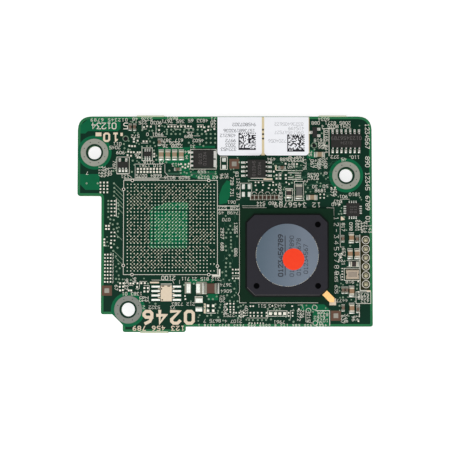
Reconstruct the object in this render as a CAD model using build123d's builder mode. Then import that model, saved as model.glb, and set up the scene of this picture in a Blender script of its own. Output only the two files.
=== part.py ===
from build123d import *
import os

os.makedirs("parts", exist_ok=True)

# A mezzanine network card, lying flat with its parts facing up. All sizes are in millimetres.
# X runs along the long side and Y along the short side, both from the middle of the outline.
# Z = 0 is the mating face of the connector under the board.

# Board outline
board_width = 85.1
board_height = 62.3
board_thickness = 1.6
corner_radius = 4.0        # the two corners of the straight long edge
edge_radius = 0.7          # every other outer corner
wing_depth = 23.05         # the wing runs this far down from the long edge
wing_reach = 6.95          # the wing stands out this far past the main left edge
heel_height = 5.1          # the main left edge ends this far above the lowest edge
heel_width = 3.3           # short edge between the main left edge and the bevel
bevel = 3.0                # 45 degree bevel beside the lower mounting hole
tab_width = 18.1           # low tab at the bottom
tab_drop = 1.55            # the tab reaches this far below the main bottom edge
stub_width = 8.0           # rests of the break-off bridges
stub_reach = 0.3

# Connector under the board, with its two locating pegs
connector_length = 57.8
connector_width = 8.8
connector_height = 5.0
connector_wall = 0.9
connector_end = 3.2        # solid block at each end, with a peg on its middle
connector_base = 1.5
connector_shift = 1.4      # its middle lies this far left of the board's middle
connector_below_top = 7.42
peg_d = 1.2
peg_clearance = 0.05
peg_offset = 0.97          # one peg sits above the middle line, the other below it
peg_below_face = 0.2
contact_pitch = 1.27
contact_width = 0.7
contact_thickness = 0.25
contact_below_rim = 0.8

# Reference lines that the rest is placed from
top = board_height / 2
bottom = -board_height / 2
left = -board_width / 2
right = board_width / 2
main_left = left + wing_reach
main_bottom = bottom + tab_drop
wing_bottom = top - wing_depth
heel = bottom + heel_height
tab_left = main_left + heel_width + bevel
tab_right = tab_left + tab_width
board_under = connector_height
board_top = board_under + board_thickness
connector_x = -connector_shift
connector_y = top - connector_below_top


def spot(u, v):
    """A place on the board: shares of its width and height, counted from its middle."""
    return (u * board_width, v * board_height)


def row(count, pitch):
    """Offsets of evenly spaced places around zero."""
    return [(i - (count - 1) / 2) * pitch for i in range(count)]


# Break-off stubs on the long edge, and one on the tab
upper_stubs = [spot(-0.2526, 0.5), spot(0.3678, 0.5)]
lower_stub = ((tab_left + tab_right) / 2, bottom)

# Mounting holes with their tinned lands
hole_d = 3.9
land_d = 8.0
land_bore_d = 5.0
land_thickness = 0.05
wing_hole_in = 4.87        # from the left edge
wing_hole_down = 10.5      # from the long edge
side_hole_in = 7.45        # from the right edge
tab_hole_in = 7.85         # from the main left edge
tab_hole_up = 6.45         # from the lowest edge
mounting_holes = [
    (left + wing_hole_in, top - wing_hole_down),
    (right - side_hole_in, spot(0, 0.2247)[1]),
    (main_left + tab_hole_in, bottom + tab_hole_up),
]

# Six plated holes at the right edge, filled with solder
pin_count = 6
pin_pitch = 2.54
pin_d = 1.0
pin_sides = 8              # few faces are enough for a hole this small
pin_stand = 0.15
pin_in = 1.9               # from the right edge
pin_middle = spot(0, -0.1774)[1]
pin_places = [(right - pin_in, pin_middle + d) for d in row(pin_count, pin_pitch)]

# Leaded chips
lead_thickness = 0.2
lead_pitch = 1.27
body_stand = 0.1
body_draft = 7.0
logic_x, logic_y = spot(0.4122, 0.3844)
logic_length = 8.65
logic_width = 3.9
logic_height = 1.4
logic_span = 6.2
logic_lead = 0.42
logic_pins = 7
flash_x, flash_y = spot(0.1081, 0.2544)
flash_size = 5.2
flash_height = 1.7
flash_span = 8.0
flash_lead = 0.42
flash_pins = 4
regulator_x, regulator_y = spot(-0.3455, 0.2729)
regulator_length = 2.9
regulator_width = 1.7
regulator_height = 1.1
regulator_span = 3.3
buffer_x, buffer_y = spot(-0.2626, 0.3234)
buffer_length = 2.2
buffer_width = 1.4
buffer_height = 0.9
buffer_span = 2.6
transistor_x, transistor_y = spot(0.3061, 0.4254)
transistor_length = 2.9
transistor_width = 1.3
transistor_height = 1.0
transistor_span = 2.5
fine_pitch = 0.95
finest_pitch = 0.65
fine_lead = 0.4
finest_lead = 0.3

# Chips with flat contacts
switch_x, switch_y = spot(-0.0723, 0.3010)
switch_length = 5.9
switch_width = 5.1
switch_height = 1.0
switch_tab = 0.6
clock_x, clock_y = spot(0.4342, 0.0650)
clock_size = 3.8
clock_height = 0.85
clock_tab = 0.35
clock_pins = 4
tab_thickness = 0.2

# Two paper labels fill the room between the power switch and the transistor
label_thickness = 0.1
label_radius = 1.0
label_gap = 0.7
label_clearance = 0.5
label_below_top = 0.15
label_above_flash = 1.35   # strip of board between the labels and the flash chip
label_from = switch_x + switch_length / 2 + switch_tab + label_clearance
label_to = transistor_x - transistor_span / 2 - label_clearance
label_width = (label_to - label_from - label_gap) / 2
label_height = top - label_below_top - (flash_y + flash_size / 2 + label_above_flash)

# Crystal in a ceramic case
crystal_x, crystal_y = spot(0.4318, -0.2343)
crystal_length = 3.7
crystal_width = 2.7
crystal_base_height = 0.5
crystal_lid_inset = 0.2
crystal_lid_height = 0.25
crystal_notch = 0.25

# Sizes of the chip parts: a body between two metal ends, which are a little larger by the plating
plate = 0.04
capacitor_length = 2.1
capacitor_width = 1.3
capacitor_height = 1.0
capacitor_end = 0.45
resistor_length = 2.0
resistor_width = 1.25
resistor_height = 0.55
resistor_end = 0.4
small_length = 1.5
small_width = 0.75
small_height = 0.7
small_end = 0.3
inductor_length = 3.4
inductor_width = 1.7
inductor_height = 1.3
inductor_end = 0.4
bulk_length = 3.3
bulk_width = 2.8
bulk_height = 1.6
bulk_end = 0.55

# Network chip, left of the inner column of small parts
substrate_size = 27.0
substrate_thickness = 0.56
ball_pitch = 1.0
ball_d = 0.6
ball_height = 0.5
ball_sides = 4             # plain posts stand in for the balls
cap_margin = 1.5           # rim of bare substrate around the cap
cap_height = 1.17
cap_chamfer = 2.5
cap_draft = 23.0
slug_margin = 3.0          # mould left around the slug at the foot of the cap
slug_depth = 0.3
slug_clearance = 0.02
dimple_in = 3.2            # from the foot of the cap, both ways
dimple_d = 1.7
dimple_depth = 0.15
gate_width = 1.84
gate_thickness = 0.03
dot_d = 6.2
dot_thickness = 0.08
dot_right = 1.8            # the sticker sits a little off the middle of the slug
dot_down = 1.2
chip_clearance = 2.25
column_x = spot(0.4001, 0)[0]
chip_x = column_x - (small_width + plate) / 2 - chip_clearance - substrate_size / 2
chip_y = spot(0, -0.1461)[1]
chip_top = chip_y + substrate_size / 2
cap_base = substrate_size - 2 * cap_margin
slug_d = cap_base - 2 * slug_margin
dimple_offset = cap_base / 2 - dimple_in
dot_x = chip_x + dot_right
dot_y = chip_y - dot_down
balls_per_side = int(substrate_size / ball_pitch) - 1

# Places of the chip parts
bank_pitch = 1.94
bank_count = 4
bank_x, bank_y = spot(-0.1816, 0.3210)
upright_capacitors = [(bank_x + d, bank_y) for d in row(bank_count, bank_pitch)]
upright_capacitors += [
    spot(0.4289, -0.0650),
    spot(0.4242, -0.1388),
    spot(0.4477, -0.1388),
    spot(0.4289, -0.3114),
    spot(0.4289, -0.3900),
]
above_chip = 2.55          # clear strips along the chip's upper edge
resistor_above_chip = 3.45
inductor_above_chip = 3.25
flat_capacitors = [
    spot(0.3220, 0.3218),
    (spot(0.2961, 0)[0], chip_top + above_chip + capacitor_width / 2),
]
upright_resistors = [(spot(0.2180, 0)[0], chip_top + resistor_above_chip + resistor_length / 2)]
flat_resistors = [spot(0.4371, -0.1862)]
row_pitch = 1.17
row_count = 7
row_x = spot(0.1351, 0)[0]
row_y = chip_top + 0.36 * (flash_y - flash_size / 2 - chip_top)
upright_small = [(row_x + d, row_y) for d in row(row_count, row_pitch)]
upright_small += [
    spot(-0.3220, 0.4502),
    spot(-0.3067, 0.4502),
    spot(-0.2221, 0.3796),
    spot(0.4483, -0.0706),
    (column_x, spot(0, -0.0690)[1]),
    (column_x, spot(0, -0.3066)[1]),
    spot(0.4125, -0.3066),
    (column_x, spot(0, -0.3884)[1]),
    spot(0.4495, -0.3949),
]
flat_small = [spot(-0.1598, 0.2536), spot(0.1951, 0.2608)]
inductor_x = spot(0.2521, 0)[0]
inductor_y = chip_top + inductor_above_chip + inductor_length / 2
bulk_x, bulk_y = spot(-0.0470, -0.2986)

# Tinned alignment squares
target_size = 1.35
target_thickness = 0.04
target_in = 1.7            # from the main left edge
target_up = 11.9           # from the lowest edge
target_places = [
    (main_left + target_in, bottom + target_up),
    spot(0.0323, 0.2785),
    spot(0.3754, -0.4246),
]

# Bare solder pads of places left empty
pad_thickness = 0.04
tall_pad_width = 1.1       # two beside the large capacitor
tall_pad_height = 2.6
tall_pad_pitch = 2.75
tall_pad_in = 2.0          # from the end of the large capacitor
wide_pad_width = 1.9       # two below them
wide_pad_height = 1.25
wide_pad_pitch = 2.6
quad_pad_width = 0.85      # two by two, beside the row of small parts
quad_pad_height = 1.4
quad_pitch_x = 1.7
quad_pitch_y = 2.25
pair_pad = 1.1             # two beside the power switch
pair_pitch = 2.1
spare_pad_length = 2.4     # empty place of an eight-lead chip
spare_pad_width = 0.55
spare_reach = 3.05
spare_pins = 4
tall_pad_x = bulk_x - bulk_length / 2 - tall_pad_in
tall_pads = [(tall_pad_x, bulk_y), (tall_pad_x - tall_pad_pitch, bulk_y)]
wide_x, wide_y = spot(-0.0870, -0.3740)
wide_pads = [(wide_x, wide_y + d) for d in row(2, wide_pad_pitch)]
quad_x, quad_y = spot(0.0734, 0.1545)
quad_pads = [(quad_x + dx, quad_y + dy) for dx in row(2, quad_pitch_x) for dy in row(2, quad_pitch_y)]
pair_x, pair_y = spot(-0.0024, 0.2809)
pair_pads = [(pair_x, pair_y + d) for d in row(2, pair_pitch)]
spare_x, spare_y = spot(-0.1974, -0.3210)
spare_pads = [(spare_x + side * spare_reach, spare_y + d) for d in row(spare_pins, lead_pitch) for side in (-1, 1)]

# Capacitors on the underside, below the network chip
under_rows = 2
under_columns = 5
under_pitch = 3.0


def gull_wing(body, span, height):
    """Side view of one bent lead, from the body side out to the tip of its foot."""
    side = body / 2
    tip = span / 2
    knee = side + 0.45 * (tip - side)
    shoulder = side + 0.2 * (tip - side)
    high = height + lead_thickness / 2
    low = height - lead_thickness / 2
    return [
        (side, high),
        (shoulder + 0.8 * lead_thickness, high),
        (knee + 0.8 * lead_thickness, lead_thickness),
        (tip, lead_thickness),
        (tip, 0),
        (knee, 0),
        (shoulder, low),
        (side, low),
    ]


def lead_planes_y(x, y, offsets, side):
    """Planes across the X axis, one for each lead on the +Y (side 1) or -Y (side -1) edge."""
    return [Plane(origin=(x + d, y, board_top), x_dir=(0, side, 0), z_dir=(side, 0, 0)) for d in offsets]


def lead_planes_x(x, y, offsets, side):
    """Planes across the Y axis, one for each lead on the +X (side 1) or -X (side -1) edge."""
    return [Plane(origin=(x, y + d, board_top), x_dir=(side, 0, 0), z_dir=(0, -side, 0)) for d in offsets]


# Circuit board
outline_corners = [
    (left, top),
    (right, top),
    (right, main_bottom),
    (tab_right, main_bottom),
    (tab_right, bottom),
    (tab_left, bottom),
    (tab_left, heel - bevel),
    (tab_left - bevel, heel),
    (main_left, heel),
    (main_left, wing_bottom),
    (left, wing_bottom),
]
wide_corners = [(left, top), (right, top)]
tight_corners = [
    (right, main_bottom),
    (tab_right, bottom),
    (tab_left, bottom),
    (main_left, heel),
    (main_left, wing_bottom),
    (left, wing_bottom),
]


def at(vertices, places):
    """The vertices that lie at the given places in the plane."""
    return [v for v in vertices if any(abs(v.X - x) + abs(v.Y - y) < 0.01 for x, y in places)]


peg_reach = (connector_length - connector_end) / 2
peg_places = [
    (connector_x - peg_reach, connector_y + peg_offset),
    (connector_x + peg_reach, connector_y - peg_offset),
]

with BuildPart() as circuit_board:
    with BuildSketch(Plane.XY.offset(board_under)) as outline:
        with BuildLine():
            Polyline(*outline_corners, close=True)
        make_face()
        fillet(at(outline.vertices(), wide_corners), corner_radius)
        fillet(at(outline.vertices(), tight_corners), edge_radius)
        with Locations(*upper_stubs, lower_stub):
            Rectangle(stub_width, 2 * stub_reach)
        with Locations(*mounting_holes):
            Circle(hole_d / 2, mode=Mode.SUBTRACT)
        with Locations(*peg_places):
            Circle(peg_d / 2 + peg_clearance, mode=Mode.SUBTRACT)
        with Locations(*pin_places):
            RegularPolygon(pin_d / 2, pin_sides, mode=Mode.SUBTRACT)
    extrude(amount=board_thickness)
circuit_board.part.label = "circuit_board"
export_step(circuit_board.part, "parts/circuit_board.step")

# Tinned lands around the mounting holes
with BuildPart() as hole_lands_top:
    with BuildSketch(Plane.XY.offset(board_top)):
        with Locations(*mounting_holes):
            Circle(land_d / 2)
            Circle(land_bore_d / 2, mode=Mode.SUBTRACT)
    extrude(amount=land_thickness)
hole_lands_top.part.label = "hole_lands_top"
export_step(hole_lands_top.part, "parts/hole_lands_top.step")

# Solder that fills the six plated holes
with BuildPart() as pin_solder:
    with BuildSketch(Plane.XY.offset(board_under - pin_stand)):
        with Locations(*pin_places):
            RegularPolygon(pin_d / 2, pin_sides)
    extrude(amount=board_thickness + 2 * pin_stand)
pin_solder.part.label = "pin_solder"
export_step(pin_solder.part, "parts/pin_solder.step")

# Network chip: outer ring of solder balls, substrate, mould cap, heat slug
ball_line = row(balls_per_side, ball_pitch)
ball_edge = ball_line[-1]
ball_places = [(chip_x + d, chip_y + s * ball_edge) for d in ball_line for s in (-1, 1)]
ball_places += [(chip_x + s * ball_edge, chip_y + d) for d in ball_line[1:-1] for s in (-1, 1)]
with BuildPart() as chip_balls:
    with BuildSketch(Plane.XY.offset(board_top)):
        with Locations(*ball_places):
            RegularPolygon(ball_d / 2, ball_sides)
    extrude(amount=ball_height)
chip_balls.part.label = "chip_balls"
export_step(chip_balls.part, "parts/chip_balls.step")

substrate_z = board_top + ball_height
cap_z = substrate_z + substrate_thickness
cap_top = cap_z + cap_height
with BuildPart() as chip_substrate:
    with BuildSketch(Plane.XY.offset(substrate_z)):
        with Locations((chip_x, chip_y)):
            Rectangle(substrate_size, substrate_size)
    extrude(amount=substrate_thickness)
chip_substrate.part.label = "chip_substrate"
export_step(chip_substrate.part, "parts/chip_substrate.step")

dimple_places = [
    (chip_x + dimple_offset, chip_y + dimple_offset),
    (chip_x - dimple_offset, chip_y - dimple_offset),
    (chip_x + dimple_offset, chip_y - dimple_offset),
]
with BuildPart() as chip_cap:
    with BuildSketch(Plane.XY.offset(cap_z)) as cap_plan:
        with Locations((chip_x, chip_y)):
            Rectangle(cap_base, cap_base)
        chamfer(cap_plan.vertices(), cap_chamfer)
    extrude(amount=cap_height, taper=cap_draft)
    with BuildSketch(Plane.XY.offset(cap_top)):
        with Locations((chip_x, chip_y)):
            Circle(slug_d / 2 + slug_clearance)
    extrude(amount=-slug_depth, mode=Mode.SUBTRACT)
    with BuildSketch(Plane.XY.offset(cap_top)):
        with Locations(*dimple_places):
            Circle(dimple_d / 2)
    extrude(amount=-dimple_depth, mode=Mode.SUBTRACT)
chip_cap.part.label = "chip_cap"
export_step(chip_cap.part, "parts/chip_cap.step")

with BuildPart() as chip_slug:
    with BuildSketch(Plane.XY.offset(cap_top - slug_depth)):
        with Locations((chip_x, chip_y)):
            Circle(slug_d / 2)
    extrude(amount=slug_depth)
chip_slug.part.label = "chip_slug"
export_step(chip_slug.part, "parts/chip_slug.step")

# Gold strip from the chamfered corner of the cap to the corner of the substrate
corner = substrate_size / 2
gate_start = (cap_base - cap_chamfer) / 2
gate_half = gate_width / 2 / 2 ** 0.5
gate_run = corner - gate_start
gate_points = [
    (chip_x + gate_start + gate_half, chip_y - gate_start + gate_half),
    (chip_x + corner, chip_y - gate_start - gate_run + 2 * gate_half),
    (chip_x + corner, chip_y - corner),
    (chip_x + gate_start + gate_run - 2 * gate_half, chip_y - corner),
    (chip_x + gate_start - gate_half, chip_y - gate_start - gate_half),
]
with BuildPart() as chip_gate:
    with BuildSketch(Plane.XY.offset(cap_z)):
        with BuildLine():
            Polyline(*gate_points, close=True)
        make_face()
    extrude(amount=gate_thickness)
chip_gate.part.label = "chip_gate"
export_step(chip_gate.part, "parts/chip_gate.step")

with BuildPart() as dot_label:
    with BuildSketch(Plane.XY.offset(cap_top)):
        with Locations((dot_x, dot_y)):
            Circle(dot_d / 2)
    extrude(amount=dot_thickness)
dot_label.part.label = "dot_label"
export_step(dot_label.part, "parts/dot_label.step")

# Paper labels
label_y = top - label_below_top - label_height / 2
label_left_x = label_from + label_width / 2
label_right_x = label_to - label_width / 2
with BuildPart() as label_left:
    with BuildSketch(Plane.XY.offset(board_top)) as label_left_plan:
        with Locations((label_left_x, label_y)):
            Rectangle(label_width, label_height)
        fillet(label_left_plan.vertices().group_by(Axis.Y)[0], label_radius)
    extrude(amount=label_thickness)
label_left.part.label = "label_left"
export_step(label_left.part, "parts/label_left.step")

with BuildPart() as label_right:
    with BuildSketch(Plane.XY.offset(board_top)) as label_right_plan:
        with Locations((label_right_x, label_y)):
            Rectangle(label_width, label_height)
        fillet(label_right_plan.vertices().group_by(Axis.Y)[0], label_radius)
    extrude(amount=label_thickness)
label_right.part.label = "label_right"
export_step(label_right.part, "parts/label_right.step")

# Logic chip: body with drafted halves and seven bent leads on each long side
logic_mid = body_stand + logic_height / 2
with BuildPart() as logic_body:
    with BuildSketch(Plane.XY.offset(board_top + logic_mid)):
        with Locations((logic_x, logic_y)):
            Rectangle(logic_length, logic_width)
    extrude(amount=lead_thickness / 2, both=True)
    with BuildSketch(Plane.XY.offset(board_top + logic_mid + lead_thickness / 2)):
        with Locations((logic_x, logic_y)):
            Rectangle(logic_length, logic_width)
    extrude(amount=(logic_height - lead_thickness) / 2, taper=body_draft)
    with BuildSketch(Plane.XY.offset(board_top + logic_mid - lead_thickness / 2)):
        with Locations((logic_x, logic_y)):
            Rectangle(logic_length, logic_width)
    extrude(amount=-(logic_height - lead_thickness) / 2, taper=body_draft)
logic_body.part.label = "logic_body"
export_step(logic_body.part, "parts/logic_body.step")

with BuildPart() as logic_leads:
    for side in (-1, 1):
        with BuildSketch(*lead_planes_y(logic_x, logic_y, row(logic_pins, lead_pitch), side)):
            with BuildLine():
                Polyline(*gull_wing(logic_width, logic_span, logic_mid), close=True)
            make_face()
        extrude(amount=logic_lead / 2, both=True)
logic_leads.part.label = "logic_leads"
export_step(logic_leads.part, "parts/logic_leads.step")

# Flash chip: wide square body, four leads on each side
flash_mid = body_stand + flash_height / 2
with BuildPart() as flash_body:
    with BuildSketch(Plane.XY.offset(board_top + flash_mid)):
        with Locations((flash_x, flash_y)):
            Rectangle(flash_size, flash_size)
    extrude(amount=lead_thickness / 2, both=True)
    with BuildSketch(Plane.XY.offset(board_top + flash_mid + lead_thickness / 2)):
        with Locations((flash_x, flash_y)):
            Rectangle(flash_size, flash_size)
    extrude(amount=(flash_height - lead_thickness) / 2, taper=body_draft)
    with BuildSketch(Plane.XY.offset(board_top + flash_mid - lead_thickness / 2)):
        with Locations((flash_x, flash_y)):
            Rectangle(flash_size, flash_size)
    extrude(amount=-(flash_height - lead_thickness) / 2, taper=body_draft)
flash_body.part.label = "flash_body"
export_step(flash_body.part, "parts/flash_body.step")

with BuildPart() as flash_leads:
    for side in (-1, 1):
        with BuildSketch(*lead_planes_x(flash_x, flash_y, row(flash_pins, lead_pitch), side)):
            with BuildLine():
                Polyline(*gull_wing(flash_size, flash_span, flash_mid), close=True)
            make_face()
        extrude(amount=flash_lead / 2, both=True)
flash_leads.part.label = "flash_leads"
export_step(flash_leads.part, "parts/flash_leads.step")

# Regulator: two leads on the upper side, three on the lower side
regulator_mid = body_stand + regulator_height / 2
with BuildPart() as regulator_body:
    with BuildSketch(Plane.XY.offset(board_top + body_stand)):
        with Locations((regulator_x, regulator_y)):
            Rectangle(regulator_length, regulator_width)
    extrude(amount=regulator_height)
regulator_body.part.label = "regulator_body"
export_step(regulator_body.part, "parts/regulator_body.step")

with BuildPart() as regulator_leads:
    for side, offsets in ((1, row(2, 2 * fine_pitch)), (-1, row(3, fine_pitch))):
        with BuildSketch(*lead_planes_y(regulator_x, regulator_y, offsets, side)):
            with BuildLine():
                Polyline(*gull_wing(regulator_width, regulator_span, regulator_mid), close=True)
            make_face()
        extrude(amount=fine_lead / 2, both=True)
regulator_leads.part.label = "regulator_leads"
export_step(regulator_leads.part, "parts/regulator_leads.step")

# Buffer chip: three leads on each side
buffer_mid = body_stand + buffer_height / 2
with BuildPart() as buffer_body:
    with BuildSketch(Plane.XY.offset(board_top + body_stand)):
        with Locations((buffer_x, buffer_y)):
            Rectangle(buffer_length, buffer_width)
    extrude(amount=buffer_height)
buffer_body.part.label = "buffer_body"
export_step(buffer_body.part, "parts/buffer_body.step")

with BuildPart() as buffer_leads:
    for side in (-1, 1):
        with BuildSketch(*lead_planes_y(buffer_x, buffer_y, row(3, finest_pitch), side)):
            with BuildLine():
                Polyline(*gull_wing(buffer_width, buffer_span, buffer_mid), close=True)
            make_face()
        extrude(amount=finest_lead / 2, both=True)
buffer_leads.part.label = "buffer_leads"
export_step(buffer_leads.part, "parts/buffer_leads.step")

# Transistor: one lead on the left, two on the right
transistor_mid = body_stand + transistor_height / 2
with BuildPart() as transistor_body:
    with BuildSketch(Plane.XY.offset(board_top + body_stand)):
        with Locations((transistor_x, transistor_y)):
            Rectangle(transistor_width, transistor_length)
    extrude(amount=transistor_height)
transistor_body.part.label = "transistor_body"
export_step(transistor_body.part, "parts/transistor_body.step")

with BuildPart() as transistor_leads:
    for side, offsets in ((-1, [0]), (1, row(2, 2 * fine_pitch))):
        with BuildSketch(*lead_planes_x(transistor_x, transistor_y, offsets, side)):
            with BuildLine():
                Polyline(*gull_wing(transistor_width, transistor_span, transistor_mid), close=True)
            make_face()
        extrude(amount=fine_lead / 2, both=True)
transistor_leads.part.label = "transistor_leads"
export_step(transistor_leads.part, "parts/transistor_leads.step")

# Power switch: four narrow contacts on the left, two wide ones on the right
with BuildPart() as switch_body:
    with BuildSketch(Plane.XY.offset(board_top)):
        with Locations((switch_x, switch_y)):
            Rectangle(switch_length, switch_width)
    extrude(amount=switch_height, taper=2)
switch_body.part.label = "switch_body"
export_step(switch_body.part, "parts/switch_body.step")

with BuildPart() as switch_contacts:
    with BuildSketch(Plane.XY.offset(board_top)):
        reach = (switch_length + switch_tab) / 2
        with Locations(*[(switch_x - reach, switch_y + d) for d in row(4, lead_pitch)]):
            Rectangle(switch_tab, lead_pitch / 2.5)
        with Locations(*[(switch_x + reach, switch_y + d) for d in row(2, switch_width / 2)]):
            Rectangle(switch_tab, switch_width / 2.4)
    extrude(amount=tab_thickness)
switch_contacts.part.label = "switch_contacts"
export_step(switch_contacts.part, "parts/switch_contacts.step")

# Clock chip: flat square body with four contacts on each side
with BuildPart() as clock_body:
    with BuildSketch(Plane.XY.offset(board_top)):
        with Locations((clock_x, clock_y)):
            Rectangle(clock_size, clock_size)
    extrude(amount=clock_height)
clock_body.part.label = "clock_body"
export_step(clock_body.part, "parts/clock_body.step")

with BuildPart() as clock_contacts:
    with BuildSketch(Plane.XY.offset(board_top)):
        reach = (clock_size + clock_tab) / 2
        for side in (-1, 1):
            with Locations(*[(clock_x + d, clock_y + side * reach) for d in row(clock_pins, finest_pitch)]):
                Rectangle(finest_lead, clock_tab)
            with Locations(*[(clock_x + side * reach, clock_y + d) for d in row(clock_pins, finest_pitch)]):
                Rectangle(clock_tab, finest_lead)
    extrude(amount=tab_thickness)
clock_contacts.part.label = "clock_contacts"
export_step(clock_contacts.part, "parts/clock_contacts.step")

# Crystal: ceramic case with a notch in each short side, and its metal lid
with BuildPart() as crystal_case:
    with BuildSketch(Plane.XY.offset(board_top)):
        with Locations((crystal_x, crystal_y)):
            Rectangle(crystal_length, crystal_width)
        with Locations(*[(crystal_x + d, crystal_y) for d in row(2, crystal_length)]):
            Rectangle(2 * crystal_notch, 2 * crystal_notch, mode=Mode.SUBTRACT)
    extrude(amount=crystal_base_height)
crystal_case.part.label = "crystal_case"
export_step(crystal_case.part, "parts/crystal_case.step")

with BuildPart() as crystal_lid:
    with BuildSketch(Plane.XY.offset(board_top + crystal_base_height)):
        with Locations((crystal_x, crystal_y)):
            Rectangle(crystal_length - 2 * crystal_lid_inset, crystal_width - 2 * crystal_lid_inset)
    extrude(amount=crystal_lid_height)
crystal_lid.part.label = "crystal_lid"
export_step(crystal_lid.part, "parts/crystal_lid.step")

# Chip capacitors
with BuildPart() as capacitor_bodies:
    with BuildSketch(Plane.XY.offset(board_top)):
        with Locations(*upright_capacitors):
            Rectangle(capacitor_width, capacitor_length - 2 * capacitor_end)
        with Locations(*flat_capacitors):
            Rectangle(capacitor_length - 2 * capacitor_end, capacitor_width)
    extrude(amount=capacitor_height)
capacitor_bodies.part.label = "capacitor_bodies"
export_step(capacitor_bodies.part, "parts/capacitor_bodies.step")

with BuildPart() as capacitor_ends:
    with BuildSketch(Plane.XY.offset(board_top)):
        for shift in row(2, capacitor_length - capacitor_end):
            with Locations(*[(x, y + shift) for x, y in upright_capacitors]):
                Rectangle(capacitor_width + plate, capacitor_end)
            with Locations(*[(x + shift, y) for x, y in flat_capacitors]):
                Rectangle(capacitor_end, capacitor_width + plate)
    extrude(amount=capacitor_height + plate)
capacitor_ends.part.label = "capacitor_ends"
export_step(capacitor_ends.part, "parts/capacitor_ends.step")

# Chip resistors
with BuildPart() as resistor_bodies:
    with BuildSketch(Plane.XY.offset(board_top)):
        with Locations(*upright_resistors):
            Rectangle(resistor_width, resistor_length - 2 * resistor_end)
        with Locations(*flat_resistors):
            Rectangle(resistor_length - 2 * resistor_end, resistor_width)
    extrude(amount=resistor_height)
resistor_bodies.part.label = "resistor_bodies"
export_step(resistor_bodies.part, "parts/resistor_bodies.step")

with BuildPart() as resistor_ends:
    with BuildSketch(Plane.XY.offset(board_top)):
        for shift in row(2, resistor_length - resistor_end):
            with Locations(*[(x, y + shift) for x, y in upright_resistors]):
                Rectangle(resistor_width + plate, resistor_end)
            with Locations(*[(x + shift, y) for x, y in flat_resistors]):
                Rectangle(resistor_end, resistor_width + plate)
    extrude(amount=resistor_height + plate)
resistor_ends.part.label = "resistor_ends"
export_step(resistor_ends.part, "parts/resistor_ends.step")

# Small capacitors
with BuildPart() as small_bodies:
    with BuildSketch(Plane.XY.offset(board_top)):
        with Locations(*upright_small):
            Rectangle(small_width, small_length - 2 * small_end)
        with Locations(*flat_small):
            Rectangle(small_length - 2 * small_end, small_width)
    extrude(amount=small_height)
small_bodies.part.label = "small_bodies"
export_step(small_bodies.part, "parts/small_bodies.step")

with BuildPart() as small_ends:
    with BuildSketch(Plane.XY.offset(board_top)):
        for shift in row(2, small_length - small_end):
            with Locations(*[(x, y + shift) for x, y in upright_small]):
                Rectangle(small_width + plate, small_end)
            with Locations(*[(x + shift, y) for x, y in flat_small]):
                Rectangle(small_end, small_width + plate)
    extrude(amount=small_height + plate)
small_ends.part.label = "small_ends"
export_step(small_ends.part, "parts/small_ends.step")

# Inductor
with BuildPart() as inductor_body:
    with BuildSketch(Plane.XY.offset(board_top)):
        with Locations((inductor_x, inductor_y)):
            Rectangle(inductor_width, inductor_length - 2 * inductor_end)
    extrude(amount=inductor_height)
inductor_body.part.label = "inductor_body"
export_step(inductor_body.part, "parts/inductor_body.step")

with BuildPart() as inductor_ends:
    with BuildSketch(Plane.XY.offset(board_top)):
        with Locations(*[(inductor_x, inductor_y + d) for d in row(2, inductor_length - inductor_end)]):
            Rectangle(inductor_width + plate, inductor_end)
    extrude(amount=inductor_height + plate)
inductor_ends.part.label = "inductor_ends"
export_step(inductor_ends.part, "parts/inductor_ends.step")

# Large capacitor
with BuildPart() as bulk_body:
    with BuildSketch(Plane.XY.offset(board_top)):
        with Locations((bulk_x, bulk_y)):
            Rectangle(bulk_length - 2 * bulk_end, bulk_width)
    extrude(amount=bulk_height)
bulk_body.part.label = "bulk_body"
export_step(bulk_body.part, "parts/bulk_body.step")

with BuildPart() as bulk_ends:
    with BuildSketch(Plane.XY.offset(board_top)):
        with Locations(*[(bulk_x + d, bulk_y) for d in row(2, bulk_length - bulk_end)]):
            Rectangle(bulk_end, bulk_width + plate)
    extrude(amount=bulk_height + plate)
bulk_ends.part.label = "bulk_ends"
export_step(bulk_ends.part, "parts/bulk_ends.step")

# Tinned alignment squares
with BuildPart() as align_targets:
    with BuildSketch(Plane.XY.offset(board_top)):
        with Locations(*target_places):
            Rectangle(target_size, target_size)
    extrude(amount=target_thickness)
align_targets.part.label = "align_targets"
export_step(align_targets.part, "parts/align_targets.step")

# Bare solder pads
with BuildPart() as bare_pads:
    with BuildSketch(Plane.XY.offset(board_top)):
        with Locations(*tall_pads):
            Rectangle(tall_pad_width, tall_pad_height)
        with Locations(*wide_pads):
            Rectangle(wide_pad_width, wide_pad_height)
        with Locations(*quad_pads):
            Rectangle(quad_pad_width, quad_pad_height)
        with Locations(*pair_pads):
            Rectangle(pair_pad, pair_pad)
        with Locations(*spare_pads):
            Rectangle(spare_pad_length, spare_pad_width)
    extrude(amount=pad_thickness)
bare_pads.part.label = "bare_pads"
export_step(bare_pads.part, "parts/bare_pads.step")

# Capacitors on the underside
under_places = [(chip_x + dx, chip_y + dy) for dx in row(under_columns, under_pitch)
                for dy in row(under_rows, under_pitch)]
with BuildPart() as under_bodies:
    with BuildSketch(Plane.XY.offset(board_under)):
        with Locations(*under_places):
            Rectangle(small_width, small_length - 2 * small_end)
    extrude(amount=-small_height)
under_bodies.part.label = "under_bodies"
export_step(under_bodies.part, "parts/under_bodies.step")

with BuildPart() as under_ends:
    with BuildSketch(Plane.XY.offset(board_under)):
        for shift in row(2, small_length - small_end):
            with Locations(*[(x, y + shift) for x, y in under_places]):
                Rectangle(small_width + plate, small_end)
    extrude(amount=-(small_height + plate))
under_ends.part.label = "under_ends"
export_step(under_ends.part, "parts/under_ends.step")

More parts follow.
